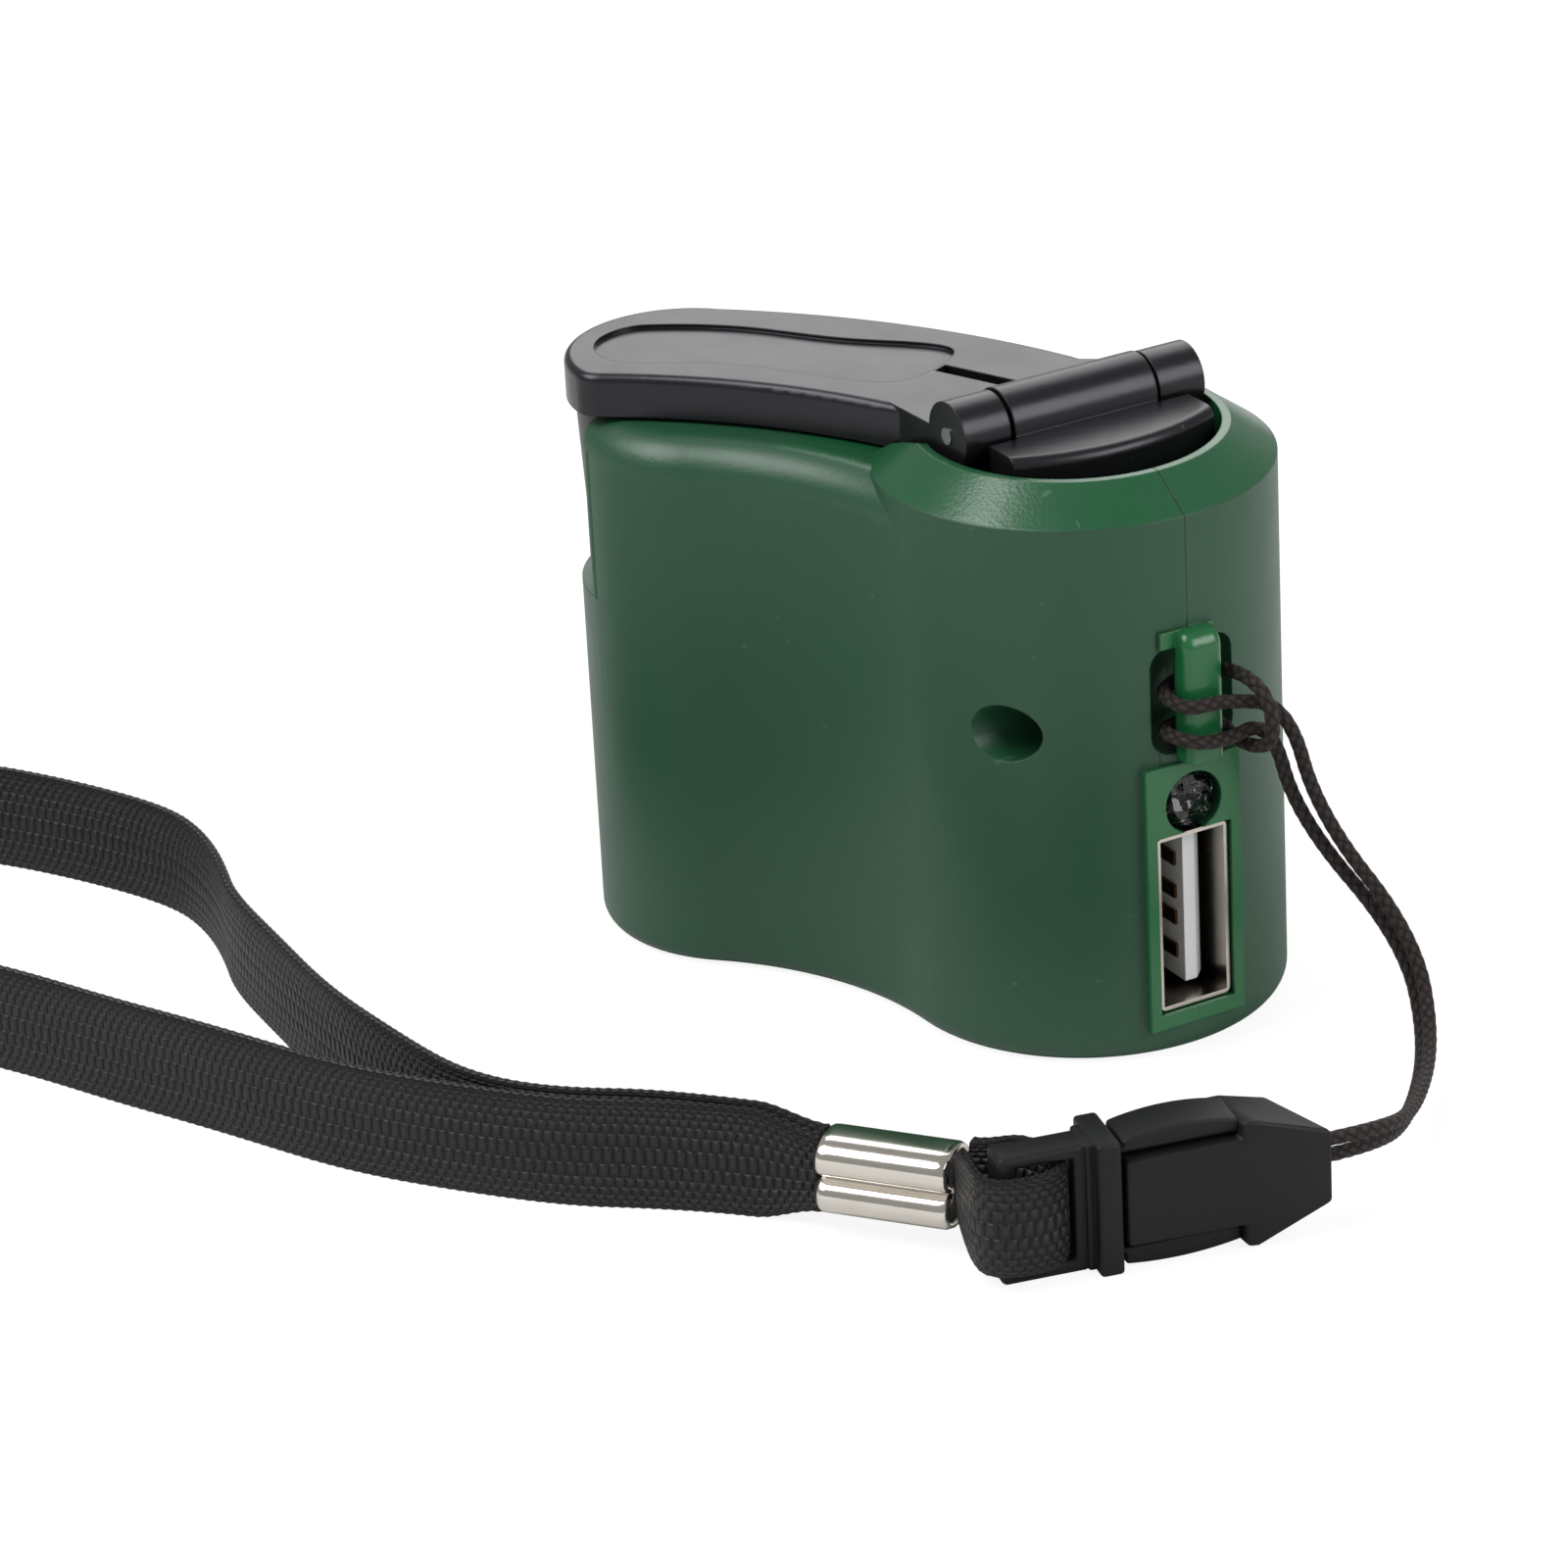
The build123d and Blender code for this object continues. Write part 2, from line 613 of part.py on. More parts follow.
with BuildPart() as generator_can:
    column(LOBE, CAN_R, CAN_BOTTOM, can_top)
    column(LOBE, CAN_R - CAN_WALL, CAN_BOTTOM, can_top - CAN_WALL, Mode.SUBTRACT)
    column(LOBE, NOSE_R, can_top - CAN_WALL, can_top + PLATE)
    column(LOBE, SHAFT_R + RUNNING, CAN_BOTTOM, can_top + PLATE, Mode.SUBTRACT)
save(generator_can, "generator_can")

with BuildPart() as generator_cap:
    column(LOBE, CAN_R, CAP_BOTTOM, CAN_BOTTOM)
    column(LOBE, CAP_BOSS_R, WALL, CAP_BOTTOM)
    column(LOBE, SHAFT_R + RUNNING, WALL + 0.4, CAN_BOTTOM, Mode.SUBTRACT)
save(generator_cap, "generator_cap")

with BuildPart() as generator_magnets:
    column(LOBE, CAN_R - CAN_WALL, CORE_BOTTOM - 1, CORE_TOP + 1)
    column(LOBE, MAGNET_R, 0, can_top, Mode.SUBTRACT)
    with Locations(LOBE):
        Box(2 * CAN_R, MAGNET_GAP, 2 * can_top, mode=Mode.SUBTRACT)
save(generator_magnets, "generator_magnets")

with BuildPart() as generator_terminals:
    for side in (-1, 1):
        foot = LOBE + polar(6.2, TO_ROTOR + 180 + side * 14)
        with Locations((foot.X, foot.Y, CAP_BOTTOM - 0.3)):
            Box(2.4, 1.2, 0.6)
save(generator_terminals, "generator_terminals")

with BuildPart() as rotor_shaft:
    column(LOBE, SHAFT_R, WALL + 0.5, SECOND_TOP + 0.6)
save(rotor_shaft, "rotor_shaft")

with BuildPart() as rotor_core:
    column(LOBE, CORE_R, CORE_BOTTOM, CORE_TOP)
    column(LOBE, CORE_R - SHOE_DEPTH, 0, can_top, Mode.SUBTRACT)
    for pole in range(3):
        with Locations(Location(LOBE, (0, 0, pole * 120 + 60))):
            with Locations((CORE_R, 0, CORE_BOTTOM)):
                Box(2 * SHOE_DEPTH + 1, 1.6, 4 * CORE_TOP, mode=Mode.SUBTRACT)
    column(LOBE, 1.9, CORE_BOTTOM, CORE_TOP)
    for pole in range(3):
        with Locations(Location(LOBE, (0, 0, pole * 120))):
            with Locations(((CORE_R - 0.5) / 2, 0, (CORE_BOTTOM + CORE_TOP) / 2)):
                Box(CORE_R - 0.5, NECK_WIDTH, CORE_TOP - CORE_BOTTOM)
    column(LOBE, SHAFT_R, 0, can_top, Mode.SUBTRACT)
save(rotor_core, "rotor_core")

with BuildPart() as rotor_windings:
    for pole in range(3):
        with Locations(Location(LOBE, (0, 0, pole * 120))):
            with Locations((3.3, 0, (CORE_BOTTOM + CORE_TOP) / 2)):
                Box(1.8, NECK_WIDTH + 1.6, CORE_TOP - CORE_BOTTOM + 1.4)
                Box(1.8, NECK_WIDTH, CORE_TOP - CORE_BOTTOM, mode=Mode.SUBTRACT)
save(rotor_windings, "rotor_windings")

with BuildPart() as commutator:
    column(LOBE, COMMUTATOR_R, CAN_BOTTOM + 0.5, CORE_BOTTOM - 0.9)
    column(LOBE, SHAFT_R, 0, can_top, Mode.SUBTRACT)
save(commutator, "commutator")

with BuildPart() as rotor_pinion:
    with BuildSketch(Plane(origin=(LOBE.X, LOBE.Y, SECOND_BOTTOM - 0.3))):
        make_face(gear_outline(ROTOR_TEETH, TO_ROTOR + 180 + 180 / ROTOR_TEETH))
    extrude(amount=SECOND_TOP - SECOND_BOTTOM + 0.6)
    column(LOBE, SHAFT_R, 0, RIM_TOP, Mode.SUBTRACT)
save(rotor_pinion, "rotor_pinion")


# ---- Gear train ----

upper_plate_top = UPPER_PLATE_BOTTOM + PLATE
lower_plate_top = LOWER_PLATE_BOTTOM + PLATE

with BuildPart() as lower_plate:
    with BuildSketch(Plane.XY.offset(LOWER_PLATE_BOTTOM)):
        make_face(casing_outline(WALL + PLATE_GAP))
    extrude(amount=PLATE)
    block((PLATE_END_X, HUB_R), (-HUB_R, HUB_R), (0, RIM_TOP), Mode.SUBTRACT)
    column(LOBE, NOSE_R, 0, RIM_TOP, Mode.SUBTRACT)
    column(FIRST, AXLE_R, 0, RIM_TOP, Mode.SUBTRACT)
    column(SECOND, AXLE_R, 0, RIM_TOP, Mode.SUBTRACT)
    for pillar in PILLARS:
        column(pillar, PLATE_SCREW_R, 0, RIM_TOP, Mode.SUBTRACT)
save(lower_plate, "lower_plate")

with BuildPart() as upper_plate:
    with BuildSketch(Plane.XY.offset(UPPER_PLATE_BOTTOM)):
        make_face(casing_outline(WALL + PLATE_GAP))
    extrude(amount=PLATE)
    groove_form(GROOVE_WALL + PLATE_GAP, 0, RIM_TOP, Mode.SUBTRACT)
    column(HUB, STEM_R + RUNNING, 0, RIM_TOP, Mode.SUBTRACT)
    column(FIRST, AXLE_R, 0, RIM_TOP, Mode.SUBTRACT)
    for pillar in PILLARS:
        column(pillar, PLATE_SCREW_R, 0, RIM_TOP, Mode.SUBTRACT)
save(upper_plate, "upper_plate")

with BuildPart() as plate_pillars:
    for pillar in PILLARS:
        column(pillar, PILLAR_R, lower_plate_top, UPPER_PLATE_BOTTOM)
        column(pillar, PLATE_SCREW_R, 0, RIM_TOP, Mode.SUBTRACT)
save(plate_pillars, "plate_pillars")

with BuildPart() as plate_screws:
    for pillar in PILLARS:
        column(pillar, PLATE_SCREW_HEAD_R, upper_plate_top, upper_plate_top + PLATE_SCREW_HEAD)
        column(pillar, PLATE_SCREW_R, LOWER_PLATE_BOTTOM, upper_plate_top)
save(plate_screws, "plate_screws")

with BuildPart() as gear_axles:
    column(FIRST, AXLE_R, LOWER_PLATE_BOTTOM, upper_plate_top)
    column(SECOND, AXLE_R, LOWER_PLATE_BOTTOM, FIRST_TOP + 0.5)
save(gear_axles, "gear_axles")

with BuildPart() as main_gear:
    with BuildSketch(Plane.XY.offset(MAIN_BOTTOM)):
        make_face(gear_outline(MAIN_TEETH, TO_FIRST))
    extrude(amount=MAIN_TOP - MAIN_BOTTOM)
    column(HUB, 4.2, MAIN_TOP, UPPER_PLATE_BOTTOM - 0.1)
    column(HUB, STEM_R, 0, RIM_TOP, Mode.SUBTRACT)
save(main_gear, "main_gear")

with BuildPart() as first_gear:
    with BuildSketch(Plane(origin=(FIRST.X, FIRST.Y, FIRST_BOTTOM))):
        make_face(gear_outline(FIRST_TEETH, TO_SECOND))
    extrude(amount=FIRST_TOP - FIRST_BOTTOM)
    with BuildSketch(Plane(origin=(FIRST.X, FIRST.Y, FIRST_TOP))):
        make_face(gear_outline(PINION_TEETH, TO_FIRST + 180 + 180 / PINION_TEETH))
    extrude(amount=MAIN_TOP + 0.3 - FIRST_TOP)
    column(FIRST, AXLE_R + 0.6, lower_plate_top + 0.1, FIRST_BOTTOM)
    column(FIRST, AXLE_R + 0.6, MAIN_TOP, UPPER_PLATE_BOTTOM - 0.1)
    column(FIRST, AXLE_R + RUNNING, 0, RIM_TOP, Mode.SUBTRACT)
save(first_gear, "first_gear")

with BuildPart() as second_gear:
    with BuildSketch(Plane(origin=(SECOND.X, SECOND.Y, SECOND_BOTTOM))):
        make_face(gear_outline(SECOND_TEETH, TO_ROTOR))
    extrude(amount=SECOND_TOP - SECOND_BOTTOM)
    with BuildSketch(Plane(origin=(SECOND.X, SECOND.Y, SECOND_TOP))):
        make_face(gear_outline(PINION_TEETH, TO_SECOND + 180 + 180 / PINION_TEETH))
    extrude(amount=FIRST_TOP + 0.3 - SECOND_TOP)
    column(SECOND, AXLE_R + 0.6, lower_plate_top + 0.1, SECOND_BOTTOM)
    column(SECOND, AXLE_R + RUNNING, 0, RIM_TOP, Mode.SUBTRACT)
save(second_gear, "second_gear")


# ---- Crank ----

stem_bottom = MAIN_BOTTOM

with BuildPart() as crank_hub:
    column(HUB, HUB_DISC_R, HUB_DISC_BOTTOM, HUB_DISC_TOP)
    column(HUB, COLLAR_R, WELL_FLOOR + COLLAR_GAP, HUB_DISC_BOTTOM)
    column(HUB, STEM_R, stem_bottom, HUB_DISC_BOTTOM)
    with BuildSketch(Plane.XY.offset(HUB_DISC_TOP)):
        with BuildLine():
            Line((HUB_FLAT_START, HUB_FLAT_HALF), (HUB_FLAT_START, -HUB_FLAT_HALF))
            Line((HUB_FLAT_START, -HUB_FLAT_HALF), (HUB_FLAT_CORNER_X, -HUB_FLAT_HALF))
            ThreePointArc(
                (HUB_FLAT_CORNER_X, -HUB_FLAT_HALF),
                (HUB_FLAT_APEX, 0),
                (HUB_FLAT_CORNER_X, HUB_FLAT_HALF),
            )
            Line((HUB_FLAT_CORNER_X, HUB_FLAT_HALF), (HUB_FLAT_START, HUB_FLAT_HALF))
        make_face()
    extrude(amount=HUB_FLAT - HUB_DISC_TOP)
    flat_face = crank_hub.faces().sort_by(Axis.Z)[-1]
    fillet(flat_face.edges().filter_by(GeomType.CIRCLE), 0.7)
    block(
        (HINGE_X - 0.9 * BARREL_R, HUB_FLAT_START + 0.3),
        (-BARREL_HALF, BARREL_HALF),
        (HUB_DISC_TOP, HUB_FLAT),
    )
    rod_y(HINGE_X, HINGE_Z, BARREL_R, -BARREL_HALF, BARREL_HALF)
    rod_y(HINGE_X, HINGE_Z, PIN_R + RUNNING, -HUB_R, HUB_R, Mode.SUBTRACT)
    column(HUB, HUB_SCREW_R, stem_bottom, stem_bottom + HUB_SCREW_DEPTH, Mode.SUBTRACT)
save(crank_hub, "crank_hub")

with BuildPart() as hub_washer:
    column(HUB, WASHER_R, stem_bottom - WASHER, stem_bottom)
    column(HUB, HUB_SCREW_R, 0, stem_bottom, Mode.SUBTRACT)
save(hub_washer, "hub_washer")

with BuildPart() as hub_screw:
    head_top = stem_bottom - WASHER
    column(HUB, HUB_SCREW_HEAD_R, head_top - HUB_SCREW_HEAD, head_top)
    column(HUB, HUB_SCREW_R, head_top, stem_bottom + HUB_SCREW_DEPTH)
    with Locations((0, 0, head_top - HUB_SCREW_HEAD)):
        Box(2.6, 0.5, 0.9, mode=Mode.SUBTRACT)
        Box(0.5, 2.6, 0.9, mode=Mode.SUBTRACT)
save(hub_screw, "hub_screw")

with BuildPart() as crank_arm:
    with BuildSketch(Plane.XY.offset(ARM_BOTTOM)) as arm_plan:
        make_face(arm_outline())
        fillet(arm_plan.vertices().sort_by_distance(ARM_CORNER)[0], ARM_CORNER_FILLET)
    extrude(amount=ARM_TOP - ARM_BOTTOM)
    top_edges = crank_arm.faces().sort_by(Axis.Z)[-1].edges()
    fillet(top_edges.filter_by(GeomType.CIRCLE), ARM_EDGE_FILLET)
    for side in (-1, 1):
        low = min(side * KNUCKLE_INNER, side * KNUCKLE_OUTER)
        high = max(side * KNUCKLE_INNER, side * KNUCKLE_OUTER)
        rod_y(HINGE_X, HINGE_Z, KNUCKLE_R, low, high)
        block((ROOT_X - 0.1, HINGE_X), (low, high), (HINGE_Z - KNUCKLE_R, ARM_TOP))
    rod_y(HINGE_X, HINGE_Z, PIN_R, -HUB_R, HUB_R, Mode.SUBTRACT)
    with BuildSketch(Plane.XY.offset(ARM_TOP)):
        with BuildLine():
            Spline(
                (-31.2, -15.8), (-26.6, -10.4), (-19.4, -5.0), (-13.5, -1.1),
                (-11.6, -3.6), (-11.0, -7.4), (-12.6, -9.3), (-17.6, -12.5),
                (-23.0, -17.2), (-27.0, -21.3), (-30.3, -20.5),
                periodic=True,
            )
        make_face()
    extrude(amount=-PANEL_DEPTH, mode=Mode.SUBTRACT)
    # Moulding slot from the panel's end to the barrel's notch
    with BuildSketch(Plane.XY.offset(ARM_BOTTOM)):
        with Locations(Location((-7.0, -1.7), (0, 0, 23))):
            Rectangle(9.4, ARM_SLOT_WIDTH)
    extrude(amount=ARM_TOP, mode=Mode.SUBTRACT)
    column(KNOB, KNOB_SCREW_R, ARM_BOTTOM, ARM_TOP - KNOB_SCREW_COVER, Mode.SUBTRACT)
save(crank_arm, "crank_arm")

with BuildPart() as hinge_pin:
    rod_y(HINGE_X, HINGE_Z, PIN_R, -KNUCKLE_OUTER - PIN_PROUD, KNUCKLE_OUTER)
save(hinge_pin, "hinge_pin")

with BuildPart() as knob:
    knob_height = KNOB_TOP - KNOB_BOTTOM
    with Locations((KNOB.X, KNOB.Y, KNOB_BOTTOM + knob_height / 2)):
        Cone(KNOB_BOTTOM_R, KNOB_TOP_R, knob_height)
    fillet(knob.faces().sort_by(Axis.Z)[0].edges(), KNOB_EDGE_FILLET)
    column(KNOB, KNOB_SCREW_R + RUNNING, KNOB_BOTTOM, KNOB_TOP, Mode.SUBTRACT)
    column(KNOB, KNOB_HEAD_R + 0.3, KNOB_BOTTOM, KNOB_SEAT, Mode.SUBTRACT)
save(knob, "knob")

with BuildPart() as knob_screw:
    column(KNOB, KNOB_HEAD_R, KNOB_SEAT - KNOB_HEAD - RUNNING, KNOB_SEAT - RUNNING)
    column(KNOB, KNOB_SCREW_R, KNOB_SEAT - RUNNING, ARM_TOP - KNOB_SCREW_COVER)
    with Locations((KNOB.X, KNOB.Y, KNOB_SEAT - KNOB_HEAD)):
        Box(4.0, 0.7, 1.2, mode=Mode.SUBTRACT)
        Box(0.7, 4.0, 1.2, mode=Mode.SUBTRACT)
save(knob_screw, "knob_screw")


# ---- Lanyard: buckle, ferrule, webbing and cord, all lying on the table ----

# Both planes stand upright with x along the piece, y up and z towards the viewer's side.
BUCKLE = Plane(origin=(38.3, -21.5, 0), x_dir=(0.218, 0.976, 0), z_dir=(0.976, -0.218, 0))
FERRULE = Plane(origin=(20.9, -33.7, 0), x_dir=(0.785, 0.618, 0), z_dir=(0.618, -0.785, 0))

with BuildPart() as buckle_plug:
    # Frame that the webbing goes round, then the stop flange
    with BuildSketch(BUCKLE.offset(-BUCKLE_FRAME_INSET)):
        with Locations((-BUCKLE_FRAME / 2 - 1, BUCKLE_FRAME_MIDDLE)):
            Rectangle(BUCKLE_FRAME - 2, 2 * BUCKLE_FRAME_MIDDLE - 0.2)
        with Locations(((BUCKLE_WINDOW_START + BUCKLE_WINDOW_END) / 2, BUCKLE_FRAME_MIDDLE)):
            Rectangle(
                BUCKLE_WINDOW_END - BUCKLE_WINDOW_START, LOOP_WIDTH + 0.4, mode=Mode.SUBTRACT
            )
    extrude(amount=-(BUCKLE_DEPTH - 2 * BUCKLE_FRAME_INSET))
    with BuildSketch(BUCKLE):
        with Locations((-BUCKLE_FLANGE / 2, BUCKLE_HEIGHT / 2)):
            Rectangle(BUCKLE_FLANGE, BUCKLE_HEIGHT)
    extrude(amount=-BUCKLE_DEPTH)
    # Two sprung prongs and the guide tongue between them
    with BuildSketch(BUCKLE.offset(-BUCKLE_FRAME_INSET + 0.2)):
        with BuildLine():
            Line((-0.2, 8.4), (-0.2, 9.0))
            ThreePointArc((-0.2, 9.0), (4.0, 9.9), (8.5, 9.0))
            Line((8.5, 9.0), (8.5, 8.4))
            Line((8.5, 8.4), (-0.2, 8.4))
        make_face()
        with BuildLine():
            Line((-0.2, 1.5), (-0.2, 0.7))
            ThreePointArc((-0.2, 0.7), (4.0, 0.05), (8.5, 0.9))
            Line((8.5, 0.9), (8.5, 1.5))
            Line((8.5, 1.5), (-0.2, 1.5))
        make_face()
        with Locations((3.8, BUCKLE_HEIGHT / 2)):
            Rectangle(8.0, 3.0)
    extrude(amount=-(BUCKLE_DEPTH - 2 * BUCKLE_FRAME_INSET + 0.4))
save(buckle_plug, "buckle_plug")

with BuildPart() as buckle_socket:
    with BuildSketch(BUCKLE):
        with BuildLine():
            Polyline(
                (0.3, 1.9), (0.3, 8.0), (8.9, 8.0), (8.9, 9.2), (9.8, 9.5),
                (BUCKLE_TIP, 7.6), (BUCKLE_TIP, 2.45), (9.8, 0.2), (8.9, 0.4), (8.9, 1.9),
                close=True,
            )
        make_face()
    extrude(amount=-BUCKLE_DEPTH)
    with BuildSketch(BUCKLE.offset(-BUCKLE_FRAME_INSET + 0.5)):
        with Locations((4.3, BUCKLE_HEIGHT / 2)):
            Rectangle(9.0, 3.4)
    extrude(amount=-(BUCKLE_DEPTH - 2 * BUCKLE_FRAME_INSET + 1.0), mode=Mode.SUBTRACT)
save(buckle_socket, "buckle_socket")

# The ferrule is a tube pressed into two lobes, with a crease between them
across = Plane(origin=FERRULE.origin, x_dir=-FERRULE.z_dir, z_dir=FERRULE.x_dir)
lobe_low = FERRULE_BOTTOM + FERRULE_LOBE / 2
lobe_high = FERRULE_BOTTOM + FERRULE_HEIGHT - FERRULE_LOBE / 2


def ferrule_section(inset):
    """Two rounded lobes joined at the crease."""
    with BuildSketch() as section:
        with Locations((0, lobe_low), (0, lobe_high)):
            RectangleRounded(
                FERRULE_DEPTH - 2 * inset, FERRULE_LOBE - 2 * inset, FERRULE_ROUND - inset
            )
        with Locations((0, (lobe_low + lobe_high) / 2)):
            Rectangle(FERRULE_DEPTH / 2 - 2 * inset, 2.0)
    return section.sketch


with BuildPart() as ferrule:
    with BuildSketch(across):
        add(ferrule_section(0))
        add(ferrule_section(FERRULE_METAL), mode=Mode.SUBTRACT)
    extrude(amount=FERRULE_LENGTH)
save(ferrule, "ferrule")

strap_offset = 0.6
strap_route = [
    FERRULE.from_local_coords((0, WEB_WIDTH / 2, strap_offset)),
    FERRULE.from_local_coords((-8.74, WEB_WIDTH / 2, strap_offset)),
    Vector(6.6, -49.4, WEB_WIDTH / 2),
    Vector(-6.5, -58.0, WEB_WIDTH / 2),
    Vector(-26.0, -66.4, WEB_WIDTH / 2),
    Vector(-62.0, -86.0, WEB_WIDTH / 2),
    Vector(-78.0, -86.0, WEB_WIDTH / 2),
    Vector(-82.0, -71.0, WEB_WIDTH / 2),
    Vector(-65.5, -57.4, WEB_WIDTH / 2),
    Vector(-51.0, -48.6, WEB_WIDTH / 2),
    Vector(-41.0, -48.4, WEB_WIDTH / 2),
    Vector(-30.0, -51.7, WEB_WIDTH / 2),
    Vector(-5.0, -52.0, WEB_WIDTH / 2),
    Vector(5.7, -48.6, WEB_WIDTH / 2),
    FERRULE.from_local_coords((-8.85, WEB_WIDTH / 2, -strap_offset)),
    FERRULE.from_local_coords((0, WEB_WIDTH / 2, -strap_offset)),
]


def tube_radii(route, name):
    """Bend radii for a route, also printed with the route's length."""
    radii = bend_radii([tuple(point) for point in route])
    print(name, "bend radii", [round(radius, 2) for radius in radii])
    return radii


with BuildPart() as strap_loop:
    with BuildLine() as strap_path:
        FilletPolyline(*strap_route, radius=tube_radii(strap_route, "strap_loop"))
    with BuildSketch(Plane(origin=strap_path.line @ 0, x_dir=(0, 0, 1), z_dir=strap_path.line % 0)):
        Rectangle(WEB_WIDTH, WEB_THICK)
    sweep()
    with BuildSketch(across):
        add(ferrule_section(FERRULE_METAL))
    extrude(amount=FERRULE_LENGTH / 2)
print("strap_loop length", round(sum(edge.length for edge in strap_path.edges()), 1))
save(strap_loop, "strap_loop")

loop_height = BUCKLE_FRAME_MIDDLE
loop_route = [
    FERRULE.from_local_coords((FERRULE_LENGTH + 0.7, loop_height, 0.9)),
    BUCKLE.from_local_coords((-9.2, loop_height, -4.0)),
    BUCKLE.from_local_coords((-9.0, loop_height, -0.4)),
    BUCKLE.from_local_coords((-3.5, loop_height, -0.4)),
    BUCKLE.from_local_coords((-3.3, loop_height, -5.0)),
    FERRULE.from_local_coords((FERRULE_LENGTH + 0.7, loop_height, -0.9)),
]

with BuildPart() as webbing_loop:
    with BuildLine() as loop_path:
        FilletPolyline(*loop_route, radius=tube_radii(loop_route, "webbing_loop"))
    with BuildSketch(Plane(origin=loop_path.line @ 0, x_dir=(0, 0, 1), z_dir=loop_path.line % 0)):
        Rectangle(LOOP_WIDTH, WEB_THICK)
    sweep()
    with BuildSketch(across.offset(FERRULE_LENGTH / 2)):
        add(ferrule_section(FERRULE_METAL))
    extrude(amount=FERRULE_LENGTH / 2 + 1.0)
print("webbing_loop length", round(sum(edge.length for edge in loop_path.edges()), 1))
save(webbing_loop, "webbing_loop")

# One strand: from the buckle up to the strap bar, hitched round it, and back
tip_high = 5.6
tip_low = 4.4
cord_route = [
    BUCKLE.from_local_coords((BUCKLE_TIP, tip_high, -BUCKLE_DEPTH / 2)),
    BUCKLE.from_local_coords((BUCKLE_TIP + 4.6, tip_high, -BUCKLE_DEPTH / 2)),
    Vector(34.6, 4.0, 2.8),
    Vector(26.8, 10.9, 2.6),
    Vector(23.5, 11.7, 9.0),
    Vector(18.9, 7.0, 17.8),
    Vector(18.0, 5.3, 26.1),
    Vector(16.4, 1.4, 26.9),
    Vector(16.4, -1.9, 26.9),
    Vector(12.6, -1.9, 27.2),
    Vector(12.6, 2.8, 27.6),
    Vector(16.4, 3.0, 28.4),
    Vector(18.9, 3.3, 27.3),
    Vector(18.9, 3.6, 23.8),
    Vector(16.0, 3.0, 22.9),
    Vector(12.6, 2.8, 24.1),
    Vector(12.6, -1.9, 24.3),
    Vector(16.4, -1.9, 24.6),
    Vector(16.5, 0.8, 23.9),
    Vector(17.2, 4.4, 25.0),
    Vector(17.5, 6.2, 17.3),
    Vector(22.5, 11.5, 8.3),
    Vector(25.6, 11.1, 1.8),
    Vector(33.6, 4.2, 1.7),
    BUCKLE.from_local_coords((BUCKLE_TIP + 4.0, tip_low, -BUCKLE_DEPTH / 2)),
    BUCKLE.from_local_coords((BUCKLE_TIP, tip_low, -BUCKLE_DEPTH / 2)),
]

with BuildPart() as lanyard_cord:
    with BuildLine() as cord_path:
        FilletPolyline(*cord_route, radius=tube_radii(cord_route, "lanyard_cord"))
    with BuildSketch(Plane(origin=cord_path.line @ 0, z_dir=cord_path.line % 0)):
        Circle(CORD_D / 2)
    sweep()
print("lanyard_cord length", round(sum(edge.length for edge in cord_path.edges()), 1))
print("lanyard_cord volume", round(lanyard_cord.part.volume, 1))
save(lanyard_cord, "lanyard_cord")

terminal_z = CAP_BOTTOM - 0.45
wire_routes = {
    "generator_wire_red": [
        LOBE + polar(7.0, TO_ROTOR + 166) + Vector(0, 0, terminal_z),
        Vector(-12.6, -8.6, 2.3),
        Vector(-8.2, -3.6, 7.4),
        Vector(-8.2, BOARD_FACE_Y, 7.4),
    ],
    "generator_wire_black": [
        LOBE + polar(7.0, TO_ROTOR + 194) + Vector(0, 0, terminal_z),
        Vector(-14.6, -4.6, 2.4),
        Vector(-8.2, -2.6, 11.4),
        Vector(-8.2, BOARD_FACE_Y, 11.4),
    ],
}
for wire_name, wire_route in wire_routes.items():
    with BuildPart() as wire:
        with BuildLine() as wire_path:
            FilletPolyline(*wire_route, radius=tube_radii(wire_route, wire_name))
        with BuildSketch(Plane(origin=wire_path.line @ 0, z_dir=wire_path.line % 0)):
            Circle(WIRE_D / 2)
        sweep()
    save(wire, wire_name)
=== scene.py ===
import json
import math
from bisect import bisect_right
from functools import cached_property

